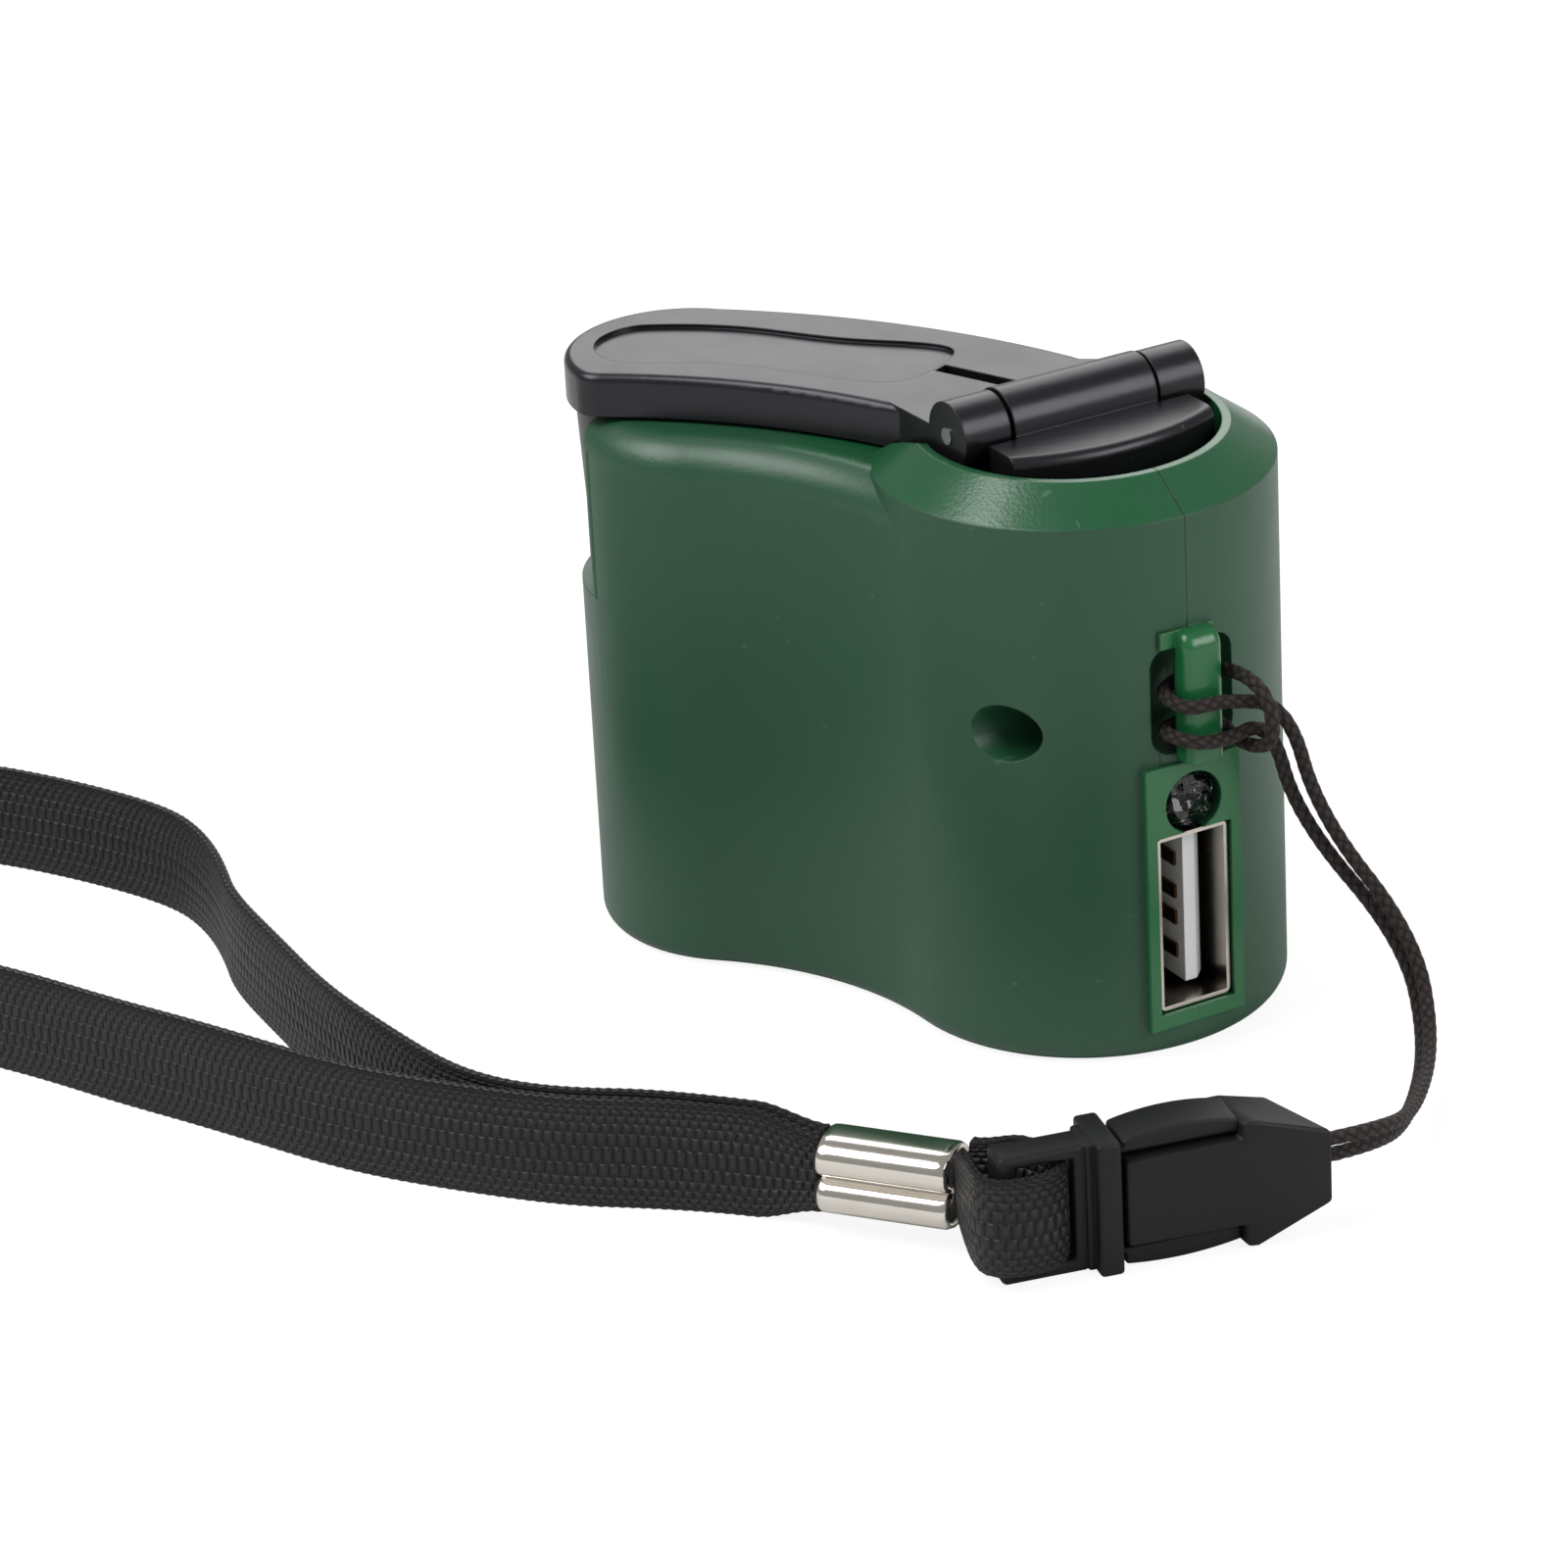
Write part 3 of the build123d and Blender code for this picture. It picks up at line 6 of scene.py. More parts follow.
import bmesh
import bpy
from bpy.props import FloatProperty, FloatVectorProperty, IntProperty, PointerProperty
from mathutils import Matrix, Vector
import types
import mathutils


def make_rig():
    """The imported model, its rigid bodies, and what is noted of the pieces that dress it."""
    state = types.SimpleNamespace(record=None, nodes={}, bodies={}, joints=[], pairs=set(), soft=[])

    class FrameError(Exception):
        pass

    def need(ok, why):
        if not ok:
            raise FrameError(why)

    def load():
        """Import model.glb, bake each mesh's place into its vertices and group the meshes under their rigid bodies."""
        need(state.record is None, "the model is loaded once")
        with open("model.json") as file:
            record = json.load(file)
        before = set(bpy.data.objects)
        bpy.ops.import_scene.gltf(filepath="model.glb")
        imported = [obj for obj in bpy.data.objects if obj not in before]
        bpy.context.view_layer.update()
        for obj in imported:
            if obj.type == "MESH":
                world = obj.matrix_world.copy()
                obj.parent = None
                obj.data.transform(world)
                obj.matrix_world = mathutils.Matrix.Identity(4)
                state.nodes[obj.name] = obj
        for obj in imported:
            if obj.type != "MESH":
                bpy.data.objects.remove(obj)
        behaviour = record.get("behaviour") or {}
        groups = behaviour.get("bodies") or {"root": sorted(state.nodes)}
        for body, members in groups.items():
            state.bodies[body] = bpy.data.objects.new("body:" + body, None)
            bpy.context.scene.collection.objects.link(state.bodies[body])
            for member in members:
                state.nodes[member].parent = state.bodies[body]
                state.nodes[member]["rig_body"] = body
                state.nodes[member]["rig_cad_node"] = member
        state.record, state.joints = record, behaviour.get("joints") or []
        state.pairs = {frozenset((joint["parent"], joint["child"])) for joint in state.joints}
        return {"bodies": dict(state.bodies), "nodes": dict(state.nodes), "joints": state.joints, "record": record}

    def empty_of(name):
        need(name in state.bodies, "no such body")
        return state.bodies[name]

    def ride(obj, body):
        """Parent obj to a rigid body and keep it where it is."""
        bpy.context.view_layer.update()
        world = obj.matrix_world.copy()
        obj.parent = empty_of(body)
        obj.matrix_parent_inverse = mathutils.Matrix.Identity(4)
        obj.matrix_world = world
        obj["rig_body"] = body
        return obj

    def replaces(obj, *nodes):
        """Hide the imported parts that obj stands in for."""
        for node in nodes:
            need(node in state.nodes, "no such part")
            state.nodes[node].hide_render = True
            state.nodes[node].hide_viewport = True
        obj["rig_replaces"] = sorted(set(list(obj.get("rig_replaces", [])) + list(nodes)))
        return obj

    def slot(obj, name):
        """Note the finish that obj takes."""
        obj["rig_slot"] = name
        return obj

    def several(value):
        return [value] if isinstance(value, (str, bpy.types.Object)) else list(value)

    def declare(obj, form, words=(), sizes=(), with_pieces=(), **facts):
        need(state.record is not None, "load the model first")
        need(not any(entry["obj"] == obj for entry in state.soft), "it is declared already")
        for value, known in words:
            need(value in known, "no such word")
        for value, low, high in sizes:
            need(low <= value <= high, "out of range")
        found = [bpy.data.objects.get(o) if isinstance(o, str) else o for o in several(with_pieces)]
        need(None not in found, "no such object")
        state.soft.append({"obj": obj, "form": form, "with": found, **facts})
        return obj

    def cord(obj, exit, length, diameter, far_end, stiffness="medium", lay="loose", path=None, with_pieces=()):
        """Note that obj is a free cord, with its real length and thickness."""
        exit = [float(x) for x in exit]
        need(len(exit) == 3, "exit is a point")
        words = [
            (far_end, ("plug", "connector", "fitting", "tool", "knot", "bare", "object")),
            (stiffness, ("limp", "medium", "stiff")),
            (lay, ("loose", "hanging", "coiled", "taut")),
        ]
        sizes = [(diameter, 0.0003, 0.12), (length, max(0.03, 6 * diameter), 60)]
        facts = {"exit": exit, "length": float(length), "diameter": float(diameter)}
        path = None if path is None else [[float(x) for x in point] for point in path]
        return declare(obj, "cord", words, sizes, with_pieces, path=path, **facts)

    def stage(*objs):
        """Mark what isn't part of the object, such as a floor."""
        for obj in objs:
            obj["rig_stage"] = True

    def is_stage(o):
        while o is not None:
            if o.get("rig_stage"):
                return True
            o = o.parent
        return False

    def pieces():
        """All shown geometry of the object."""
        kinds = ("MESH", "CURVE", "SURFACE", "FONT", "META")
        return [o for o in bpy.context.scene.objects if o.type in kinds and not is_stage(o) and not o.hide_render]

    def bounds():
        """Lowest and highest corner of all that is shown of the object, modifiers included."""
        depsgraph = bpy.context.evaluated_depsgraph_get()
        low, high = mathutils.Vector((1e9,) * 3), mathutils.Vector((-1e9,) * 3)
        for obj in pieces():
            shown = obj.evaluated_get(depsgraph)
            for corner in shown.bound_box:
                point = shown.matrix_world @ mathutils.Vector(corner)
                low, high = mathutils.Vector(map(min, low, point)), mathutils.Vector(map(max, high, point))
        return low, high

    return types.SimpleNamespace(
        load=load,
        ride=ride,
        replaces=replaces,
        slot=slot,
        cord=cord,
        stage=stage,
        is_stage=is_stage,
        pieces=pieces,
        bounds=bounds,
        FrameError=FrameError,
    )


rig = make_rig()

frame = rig.load()
CAD_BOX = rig.bounds()

bl_info = {
    "name": "Hand Crank Phone Charger",
    "version": (1, 0, 0),
    "blender": (4, 5, 0),
    "location": "3D View > Sidebar > Charger",
    "description": "Dresses a hand crank phone charger and its wrist lanyard",
    "category": "Object",
}

MM = 0.001
GREY = (0.5, 0.5, 0.5, 1)


def standing(east, north, x, y):
    """A frame on the table: X runs along the piece, Y up and Z to its near side."""
    return Matrix(((east, 0, north, x), (north, 0, -east, y), (0, 1, 0, 0), (0, 0, 0, 1)))


BUCKLE = standing(0.218, 0.976, 0.0383, -0.0215)
FERRULE = standing(0.785, 0.618, 0.0209, -0.0337)

# Where each soft piece runs, in metres, as the CAD solids do.
STRAP_ROUTE = [
    (0.02127, -0.03417, 0.004), (0.01441, -0.03957, 0.004), (0.0066, -0.0494, 0.004),
    (-0.0065, -0.0580, 0.004), (-0.0260, -0.0664, 0.004), (-0.0620, -0.0860, 0.004),
    (-0.0780, -0.0860, 0.004), (-0.0820, -0.0710, 0.004), (-0.0655, -0.0574, 0.004),
    (-0.0510, -0.0486, 0.004), (-0.0410, -0.0484, 0.004), (-0.0300, -0.0517, 0.004),
    (-0.0050, -0.0520, 0.004), (0.0057, -0.0486, 0.004), (0.01358, -0.03870, 0.004),
    (0.02053, -0.03323, 0.004),
]
LOOP_ROUTE = [
    (0.02939, -0.02816, 0.0047), (0.03239, -0.02961, 0.0047), (0.03595, -0.0302, 0.0047),
    (0.03715, -0.02483, 0.0047), (0.0327, -0.02363, 0.0047), (0.02828, -0.02675, 0.0047),
]
CORD_ROUTE = [
    (0.03861, -0.00866, 0.0056), (0.04002, -0.00231, 0.0056), (0.0346, 0.004, 0.0028),
    (0.0268, 0.0109, 0.0026), (0.0235, 0.0117, 0.009), (0.0189, 0.007, 0.0178),
    (0.018, 0.0053, 0.0261), (0.0164, 0.0014, 0.0269), (0.0164, -0.0019, 0.0269),
    (0.0126, -0.0019, 0.0272), (0.0126, 0.0028, 0.0276), (0.0164, 0.003, 0.0284),
    (0.0189, 0.0033, 0.0273), (0.0189, 0.0036, 0.0238), (0.016, 0.003, 0.0229),
    (0.0126, 0.0028, 0.0241), (0.0126, -0.0019, 0.0243), (0.0164, -0.0019, 0.0246),
    (0.0165, 0.0008, 0.0239), (0.0172, 0.0044, 0.025), (0.0175, 0.0062, 0.0173),
    (0.0225, 0.0115, 0.0083), (0.0256, 0.0111, 0.0018), (0.0336, 0.0042, 0.0017),
    (0.03989, -0.0029, 0.0044), (0.03861, -0.00866, 0.0044),
]
CORD_EXIT = (0.0165, -0.001, 0.0236)
STRAP_EXIT = (0.0209, -0.0337, 0.004)


def srgb(red, green, blue):
    """A colour given as it is seen on a screen, 0 to 255, as Blender's linear colour."""
    def straight(value):
        value /= 255
        return value / 12.92 if value <= 0.04045 else ((value + 0.055) / 1.055) ** 2.4
    return straight(red), straight(green), straight(blue)


def opaque(colour):
    return (*colour, 1.0)


# ---- Sizes and colours that a user may change ----

def measure(name, description, default, least, most):
    """A length property, given in millimetres."""
    return FloatProperty(
        name=name, description=description, unit="LENGTH",
        default=default * MM, min=least * MM, max=most * MM,
    )


def dye(name, description, *seen):
    """A colour property, given as it is seen on a screen."""
    return FloatVectorProperty(
        name=name, description=description, subtype="COLOR", min=0, max=1, default=srgb(*seen)
    )


class ChargerSizes(bpy.types.PropertyGroup):
    """Sizes of the lanyard's pieces and of the fine surface detail"""

    cord_thickness: measure("Cord Thickness", "Diameter of the thin braided cord", 1, 0.8, 1.2)
    cord_strands: IntProperty(
        name="Cord Strands", description="Strands that wind one way round the cord",
        default=4, min=3, max=8,
    )
    braid_pitch: measure(
        "Braid Pitch", "Distance along the cord between crossings of a strand", 0.95, 0.6, 1.6
    )
    webbing_width: measure("Webbing Width", "Width of the wrist strap", 8, 6, 9)
    webbing_thickness: measure("Webbing Thickness", "Thickness of the wrist strap", 1, 0.6, 1.3)
    rib_pitch: measure("Rib Pitch", "Distance between the webbing's ribs", 0.72, 0.4, 1.2)
    yarn_width: measure("Yarn Width", "Width of one of the webbing's yarns", 0.62, 0.3, 1)
    ferrule_metal: measure("Ferrule Metal", "Thickness of the ferrule's metal", 0.4, 0.2, 0.6)
    buckle_edge: measure("Buckle Edge", "Rounding of the buckle's edges", 0.28, 0.1, 0.45)
    moulded_edge: measure(
        "Moulded Edge", "Rounding that catches the light on every plastic edge", 0.16, 0.02, 0.4
    )
    seam_width: measure(
        "Seam Width", "Width of the dark line where the casing halves meet", 0.11, 0.02, 0.3
    )


class ChargerColours(bpy.types.PropertyGroup):
    """Colours of the charger's finishes"""

    casing: dye("Casing", "Green plastic of the casing", 25, 73, 47)
    # Painted sheen: a lighter copy of the casing green, mixed in where the casing catches the light.
    casing_sheen: dye("Polished Casing", "The same plastic where it shines", 28, 108, 58)
    crank: dye("Crank", "Glossy black plastic of the crank arm and hub", 19, 17, 20)
    knob: dye("Knob", "Black plastic of the knob", 28, 25, 24)
    buckle: dye("Buckle", "Matte black plastic of the buckle", 26, 26, 27)
    webbing: dye("Webbing", "Black nylon of the wrist strap", 24, 22, 22)
    cord: dye("Cord", "Brownish black thread of the thin cord", 40, 33, 31)
    socket_metal: dye("Socket Metal", "Nickel plated shell of the USB socket", 206, 198, 186)
    tongue: dye("Socket Tongue", "White plastic tongue of the USB socket", 226, 228, 230)
    ferrule: dye("Ferrule", "Chrome of the crimped ferrule", 232, 226, 216)
    gears: dye("Gears", "Natural acetal of the gears", 226, 222, 208)
    board: dye("Board", "Solder mask of the circuit board", 24, 92, 54)


# ---- Node trees ----

class NodeSheet:
    """Adds and joins the nodes of one material or effect, laid out left to right."""

    def __init__(self, tree):
        self.tree = tree
        self.column = 0

    def add(self, kind, inputs=None, **settings):
        node = self.tree.nodes.new(kind)
        node.location = (-1800 + 190 * (self.column // 2), 260 - 300 * (self.column % 2))
        self.column += 1
        for setting, value in settings.items():
            setattr(node, setting, value)
        for socket, value in (inputs or {}).items():
            if isinstance(value, bpy.types.NodeSocket):
                self.tree.links.new(value, node.inputs[socket])
            else:
                node.inputs[socket].default_value = value
        return node

    def math(self, operation, first, second=0.0, third=0.0, clamp=False):
        inputs = {0: first, 1: second, 2: third}
        return self.add("ShaderNodeMath", inputs, operation=operation, use_clamp=clamp).outputs[0]

    def mix(self, share, first, second, blend="MIX"):
        node = self.add(
            "ShaderNodeMix", {0: share, 6: first, 7: second}, data_type="RGBA", blend_type=blend
        )
        return node.outputs[2]

    def shaded(self, colour, gain):
        """A colour made darker or lighter by a number."""
        shade = self.add("ShaderNodeCombineColor", {0: gain, 1: gain, 2: gain}).outputs[0]
        return self.mix(1.0, colour, shade, "MULTIPLY")

    def stretch(self, vector, scale, turn=(0, 0, 0)):
        inputs = {"Vector": vector, "Scale": scale, "Rotation": turn}
        return self.add("ShaderNodeMapping", inputs).outputs[0]

    def noise(self, vector, scale, detail=2.0, roughness=0.5):
        inputs = {"Vector": vector, "Scale": scale, "Detail": detail, "Roughness": roughness}
        return self.add("ShaderNodeTexNoise", inputs).outputs[0]

    def band(self, value, low, high):
        """0 below low, 1 above high, smooth between."""
        inputs = {"Value": value, "From Min": low, "From Max": high}
        return self.add("ShaderNodeMapRange", inputs, interpolation_type="SMOOTHSTEP").outputs[0]

    def fade(self, value, low, high):
        """1 below low, 0 above high, smooth between."""
        return self.math("SUBTRACT", 1.0, self.band(value, low, high))

    def swing(self, value, middle, spread, base):
        """A value that moves round its base as far as the spread lets it, held to 0 to 1."""
        away = self.math("MULTIPLY", self.math("SUBTRACT", value, middle), spread)
        return self.math("ADD", away, base, clamp=True)

    def cells(self, vector, scale, **settings):
        inputs = {"Vector": vector, "Scale": scale}
        return self.add("ShaderNodeTexVoronoi", inputs, **settings).outputs["Distance"]

    def layers(self, vector, scale, distortion=0.0):
        """Even bands stacked up Z."""
        inputs = {"Vector": vector, "Scale": scale, "Distortion": distortion}
        return self.add(
            "ShaderNodeTexWave", inputs, wave_type="BANDS", bands_direction="Z", wave_profile="SIN"
        ).outputs[1]

    def wave(self, value):
        """A row of even arches, one for each unit of the value."""
        return self.math("ABSOLUTE", self.math("SINE", self.math("MULTIPLY", value, math.pi)))

    def separate(self, vector):
        return self.add("ShaderNodeSeparateXYZ", {0: vector}).outputs


def effect(name, inputs, outputs):
    """An empty node group with named sockets: its sheet, its entry and its exit.

    An input with no default is a vector, and one with a tuple is a colour.
    """
    group = bpy.data.node_groups.new(name, "ShaderNodeTree")
    kinds = {type(None): "Vector", tuple: "Color", float: "Float"}
    for label, default in inputs.items():
        socket = group.interface.new_socket(
            name=label, in_out="INPUT", socket_type="NodeSocket" + kinds[type(default)]
        )
        if default is not None:
            socket.default_value = default
    for label in outputs:
        kind = "Color" if label == "Colour" else "Float"
        group.interface.new_socket(
            name=label, in_out="OUTPUT", socket_type="NodeSocket" + kind
        )
    sheet = NodeSheet(group)
    entry = sheet.add("NodeGroupInput").outputs
    exit_node = group.nodes.new("NodeGroupOutput")
    exit_node.location = (900, 0)
    return sheet, entry, exit_node.inputs


def close(sheet, exit_sockets, **results):
    for label, value in results.items():
        sheet.tree.links.new(value, exit_sockets[label])


def build_mottle():
    """Slow drift of a moulded or dyed colour; with a wide spread, the clear lens uses it for painted reflections."""
    sheet, entry, leave = effect(
        "Mottle", {"Position": None, "Colour": GREY, "Scale": 60.0, "Spread": 0.2}, ["Colour"]
    )
    slow = sheet.noise(entry["Position"], entry["Scale"], 3.0, 0.55)
    away = sheet.math("MULTIPLY", sheet.math("SUBTRACT", slow, 0.5), entry["Spread"])
    close(sheet, leave, Colour=sheet.shaded(entry["Colour"], sheet.math("ADD", away, 1.0)))


def build_grain():
    """Fine skin of an injection moulded surface."""
    sheet, entry, leave = effect(
        "Moulded Grain",
        {"Position": None, "Scale": 4000.0, "Roughness": 0.4, "Spread": 0.12},
        ["Height", "Roughness"],
    )
    cells = sheet.cells(entry["Position"], entry["Scale"])
    drift = sheet.noise(entry["Position"], 900.0, 4.0, 0.6)
    patches = sheet.noise(entry["Position"], 220.0, 3.0, 0.6)
    close(
        sheet, leave, Height=sheet.math("MULTIPLY_ADD", drift, 0.7, cells),
        Roughness=sheet.swing(patches, 0.5, entry["Spread"], entry["Roughness"]),
    )


def build_scratches():
    """A few straight hairline scratches, each as long and thin as a needle."""
    sheet, entry, leave = effect(
        "Hairline Scratches", {"Position": None, "Scale": 55.0, "Amount": 0.5}, ["Mask"]
    )
    marks = None
    for turn, lengthen in (((0.3, 0.5, 0.9), (1, 34, 34)), ((1.1, 0.2, 2.3), (26, 1, 26))):
        line = sheet.stretch(entry["Position"], lengthen, turn)
        ridge = sheet.noise(line, entry["Scale"], 0.0, 0.4)
        thin = sheet.band(ridge, 0.87, 0.9)
        marks = thin if marks is None else sheet.math("MAXIMUM", marks, thin)
    close(sheet, leave, Mask=sheet.math("MULTIPLY", marks, entry["Amount"]))


def build_dust():
    """Pale specks and lint."""
    sheet, entry, leave = effect(
        "Dust", {"Position": None, "Scale": 900.0, "Amount": 0.3}, ["Mask"]
    )
    near = sheet.fade(sheet.cells(entry["Position"], entry["Scale"]), 0.05, 0.12)
    where = sheet.band(sheet.noise(entry["Position"], 300.0, 2.0, 0.5), 0.5, 0.62)
    mask = sheet.math("MULTIPLY", near, where)
    close(sheet, leave, Mask=sheet.math("MULTIPLY", mask, entry["Amount"]))


def build_brushed():
    """Fine parallel lines of drawn or turned metal."""
    sheet, entry, leave = effect(
        "Drawn Metal",
        {"Position": None, "Lines": 3000.0, "Roughness": 0.25, "Spread": 0.2},
        ["Height", "Roughness"],
    )
    lines = sheet.noise(entry["Position"], entry["Lines"], 3.0, 0.7)
    smears = sheet.noise(entry["Position"], 260.0, 3.0, 0.6)
    both = sheet.math("MULTIPLY_ADD", smears, 0.6, lines)
    close(
        sheet, leave, Height=lines,
        Roughness=sheet.swing(both, 0.8, entry["Spread"], entry["Roughness"]),
    )


def build_weave():
    """Ribbed nylon webbing, its colour lightened on the yarns' crests and darkened in the hollows between them as
    painted highlight and painted shade. The map counts yarns: X runs round the tape and Y along it.
    """
    sheet, entry, leave = effect(
        "Ribbed Webbing", {"Map": None, "Colour": GREY}, ["Colour", "Height", "Roughness"]
    )
    across, along, _ = sheet.separate(entry["Map"])
    column = sheet.math("FLOOR", across)
    odd = sheet.math("MULTIPLY", sheet.math("MODULO", column, 2.0), 0.5)
    yarn = sheet.math("SQRT", sheet.wave(across))
    rise = sheet.math("SQRT", sheet.wave(sheet.math("ADD", along, odd)))
    pillow = sheet.math("MULTIPLY", yarn, rise)
    fibres = sheet.noise(sheet.stretch(entry["Map"], (9, 1.5, 1)), 1.0, 3.0, 0.7)
    height = sheet.math("MULTIPLY_ADD", fibres, 0.22, pillow)
    # Painted highlight and shade: the yarns' crests are lightened and the hollows between them darkened in the colour.
    shade = sheet.math("MULTIPLY_ADD", sheet.math("POWER", pillow, 1.5), 2.1, 0.04)
    gain = sheet.math("MULTIPLY", shade, sheet.math("MULTIPLY_ADD", fibres, 0.8, 0.6))
    close(
        sheet, leave, Colour=sheet.shaded(entry["Colour"], gain), Height=height,
        Roughness=sheet.math("MULTIPLY_ADD", fibres, 0.26, 0.3),
    )


def build_braid():
    """Plaited thread, its colour darkened between the strands and lightened on their crests as painted shade and
    painted highlight. The map counts strands: X runs round the cord and Y along it.
    """
    sheet, entry, leave = effect(
        "Plaited Thread", {"Map": None, "Colour": GREY}, ["Colour", "Height", "Roughness"]
    )
    around, along, _ = sheet.separate(entry["Map"])
    left = sheet.wave(sheet.math("ADD", around, along))
    right = sheet.wave(sheet.math("SUBTRACT", around, along))
    both = sheet.math("MULTIPLY", left, right)
    threads = sheet.noise(sheet.stretch(entry["Map"], (6, 6, 1), (0, 0, 0.78)), 2.0, 3.0, 0.7)
    height = sheet.math("MULTIPLY_ADD", threads, 0.3, sheet.math("SQRT", both))
    # Painted shade and highlight: the colour is darkened between the strands and lightened on their crests.
    gain = sheet.math("MULTIPLY_ADD", sheet.math("POWER", height, 1.6), 1.35, 0.12)
    close(
        sheet, leave, Colour=sheet.shaded(entry["Colour"], gain), Height=height,
        Roughness=sheet.math("MULTIPLY_ADD", threads, 0.3, 0.45),
    )


class Finish:
    """One material: constant values on its shader's own sockets, the rest from shared effects."""

    def __init__(self, name, **constants):
        self.material = bpy.data.materials.new(name)
        self.material.use_nodes = True
        self.sheet = NodeSheet(self.material.node_tree)
        self.shader = self.material.node_tree.nodes["Principled BSDF"]
        self.shader.location = (700, 200)
        self.material.node_tree.nodes["Material Output"].location = (1000, 200)
        for label, value in constants.items():
            self.shader.inputs[label.replace("_", " ")].default_value = value

    @cached_property
    def position(self):
        """Where a point is on the piece itself."""
        return self.sheet.add("ShaderNodeTexCoord").outputs["Object"]

    def use(self, group, **inputs):
        """A shared effect's outputs. An effect without a map reads the piece's own position."""
        if "Map" not in inputs:
            inputs.setdefault("Position", self.position)
        tree = bpy.data.node_groups[group]
        return self.sheet.add("ShaderNodeGroup", inputs, node_tree=tree).outputs

    def feed(self, **sources):
        for label, value in sources.items():
            self.sheet.tree.links.new(value, self.shader.inputs[label.replace("_", " ")])

    def unrolled(self, scale):
        """The piece's own map, counted in strands or yarns."""
        own = self.sheet.add("ShaderNodeUVMap", uv_map="UVMap").outputs[0]
        return self.sheet.stretch(own, scale)

    def current(self, label):
        """What feeds one of the shader's sockets now."""
        return self.shader.inputs[label].links[0].from_socket

    def bump(self, height, distance, over=None):
        inputs = {"Height": height, "Distance": distance}
        if over is not None:
            inputs["Normal"] = over
        self.feed(Normal=self.sheet.add("ShaderNodeBump", inputs).outputs[0])


def plastic(
    name, colour, roughness, grain=4500.0, depth=0.006 * MM, spread=0.25, scratch=0.3, shine=0.5
):
    """Moulded plastic with drift in its colour, a fine skin, soft edges, hairlines and dust."""
    look = Finish(name, IOR=1.49, Specular_IOR_Level=shine)
    tinted = look.use("Mottle", Colour=opaque(colour), Scale=70.0, Spread=spread)["Colour"]
    skin = look.use("Moulded Grain", Scale=grain, Roughness=roughness)
    hair = look.use("Hairline Scratches", Amount=scratch)["Mask"]
    specks = look.use("Dust", Scale=1500.0, Amount=0.12 * scratch)["Mask"]
    pale = tuple(min(1, value * 1.5 + 0.05) for value in colour)
    worn = look.sheet.mix(hair, tinted, opaque(pale))
    look.feed(
        Base_Color=look.sheet.mix(specks, worn, (0.3, 0.3, 0.29, 1)),
        Roughness=look.sheet.math("MULTIPLY_ADD", hair, 0.25, skin["Roughness"], clamp=True),
    )
    edges = look.sheet.add(
        "ShaderNodeBevel", {"Radius": bpy.context.scene.charger_sizes.moulded_edge}, samples=4
    ).outputs[0]
    look.bump(skin["Height"], depth, over=edges)
    return look


def metal(name, colour, roughness, lines=3000.0, stretch=(1, 1, 1), depth=0.003 * MM, spread=0.2):
    """Plated or drawn metal, with smears in its gloss and a little tarnish."""
    look = Finish(name, Metallic=1.0)
    tinted = look.use("Mottle", Colour=opaque(colour), Scale=180.0, Spread=0.22)["Colour"]
    drawn = look.use(
        "Drawn Metal", Position=look.sheet.stretch(look.position, stretch), Lines=lines,
        Roughness=roughness, Spread=spread,
    )
    specks = look.use("Dust", Scale=1400.0, Amount=0.35)["Mask"]
    dull = tuple(value * 0.45 for value in colour)
    look.feed(
        Base_Color=look.sheet.mix(specks, tinted, opaque(dull)), Roughness=drawn["Roughness"]
    )
    look.bump(drawn["Height"], depth)
    return look


# ---- Shaping helpers ----

def dress(look, *names):
    """Gives CAD nodes a finish."""
    for name in names:
        materials = frame["nodes"][name].data.materials
        materials.clear()
        materials.append(look.material)


def finished(name, bm, look, slot, *stands_for):
    """Turns a bmesh into a smooth piece that rides on the casing."""
    mesh = bpy.data.meshes.new(name)
    bm.to_mesh(mesh)
    bm.free()
    for polygon in mesh.polygons:
        polygon.use_smooth = True
    mesh.materials.append(look.material)
    piece = bpy.data.objects.new(name, mesh)
    bpy.context.scene.collection.objects.link(piece)
    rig.ride(piece, "casing")
    if stands_for:
        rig.replaces(piece, *stands_for)
    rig.slot(piece, slot)
    return piece


def smooth_line(name, route, fineness=24):
    """Points along the NURBS spline whose control points are the route."""
    curve = bpy.data.curves.new(name, "CURVE")
    curve.dimensions = "3D"
    spline = curve.splines.new("NURBS")
    spline.points.add(len(route) - 1)
    for control, place in zip(spline.points, route):
        control.co = (*place, 1.0)
    spline.order_u = 3
    spline.use_endpoint_u = True
    spline.resolution_u = fineness
    holder = bpy.data.objects.new(name, curve)
    mesh = bpy.data.meshes.new_from_object(holder)
    points = [vertex.co.copy() for vertex in mesh.vertices]
    bpy.data.meshes.remove(mesh)
    bpy.data.objects.remove(holder)
    bpy.data.curves.remove(curve)
    return points


class Track:
    """A line measured along its length."""

    def __init__(self, points):
        self.points = points
        self.marks = [0.0]
        for start, end in zip(points, points[1:]):
            self.marks.append(self.marks[-1] + (end - start).length)
        self.length = self.marks[-1]

    def at(self, distance):
        index = min(max(bisect_right(self.marks, distance) - 1, 0), len(self.points) - 2)
        span = self.marks[index + 1] - self.marks[index]
        share = (distance - self.marks[index]) / span
        return self.points[index].lerp(self.points[index + 1], min(max(share, 0), 1))

    def heading(self, distance, reach=0.2 * MM):
        low = max(distance - reach, 0)
        high = min(distance + reach, self.length)
        return (self.at(high) - self.at(low)).normalized()


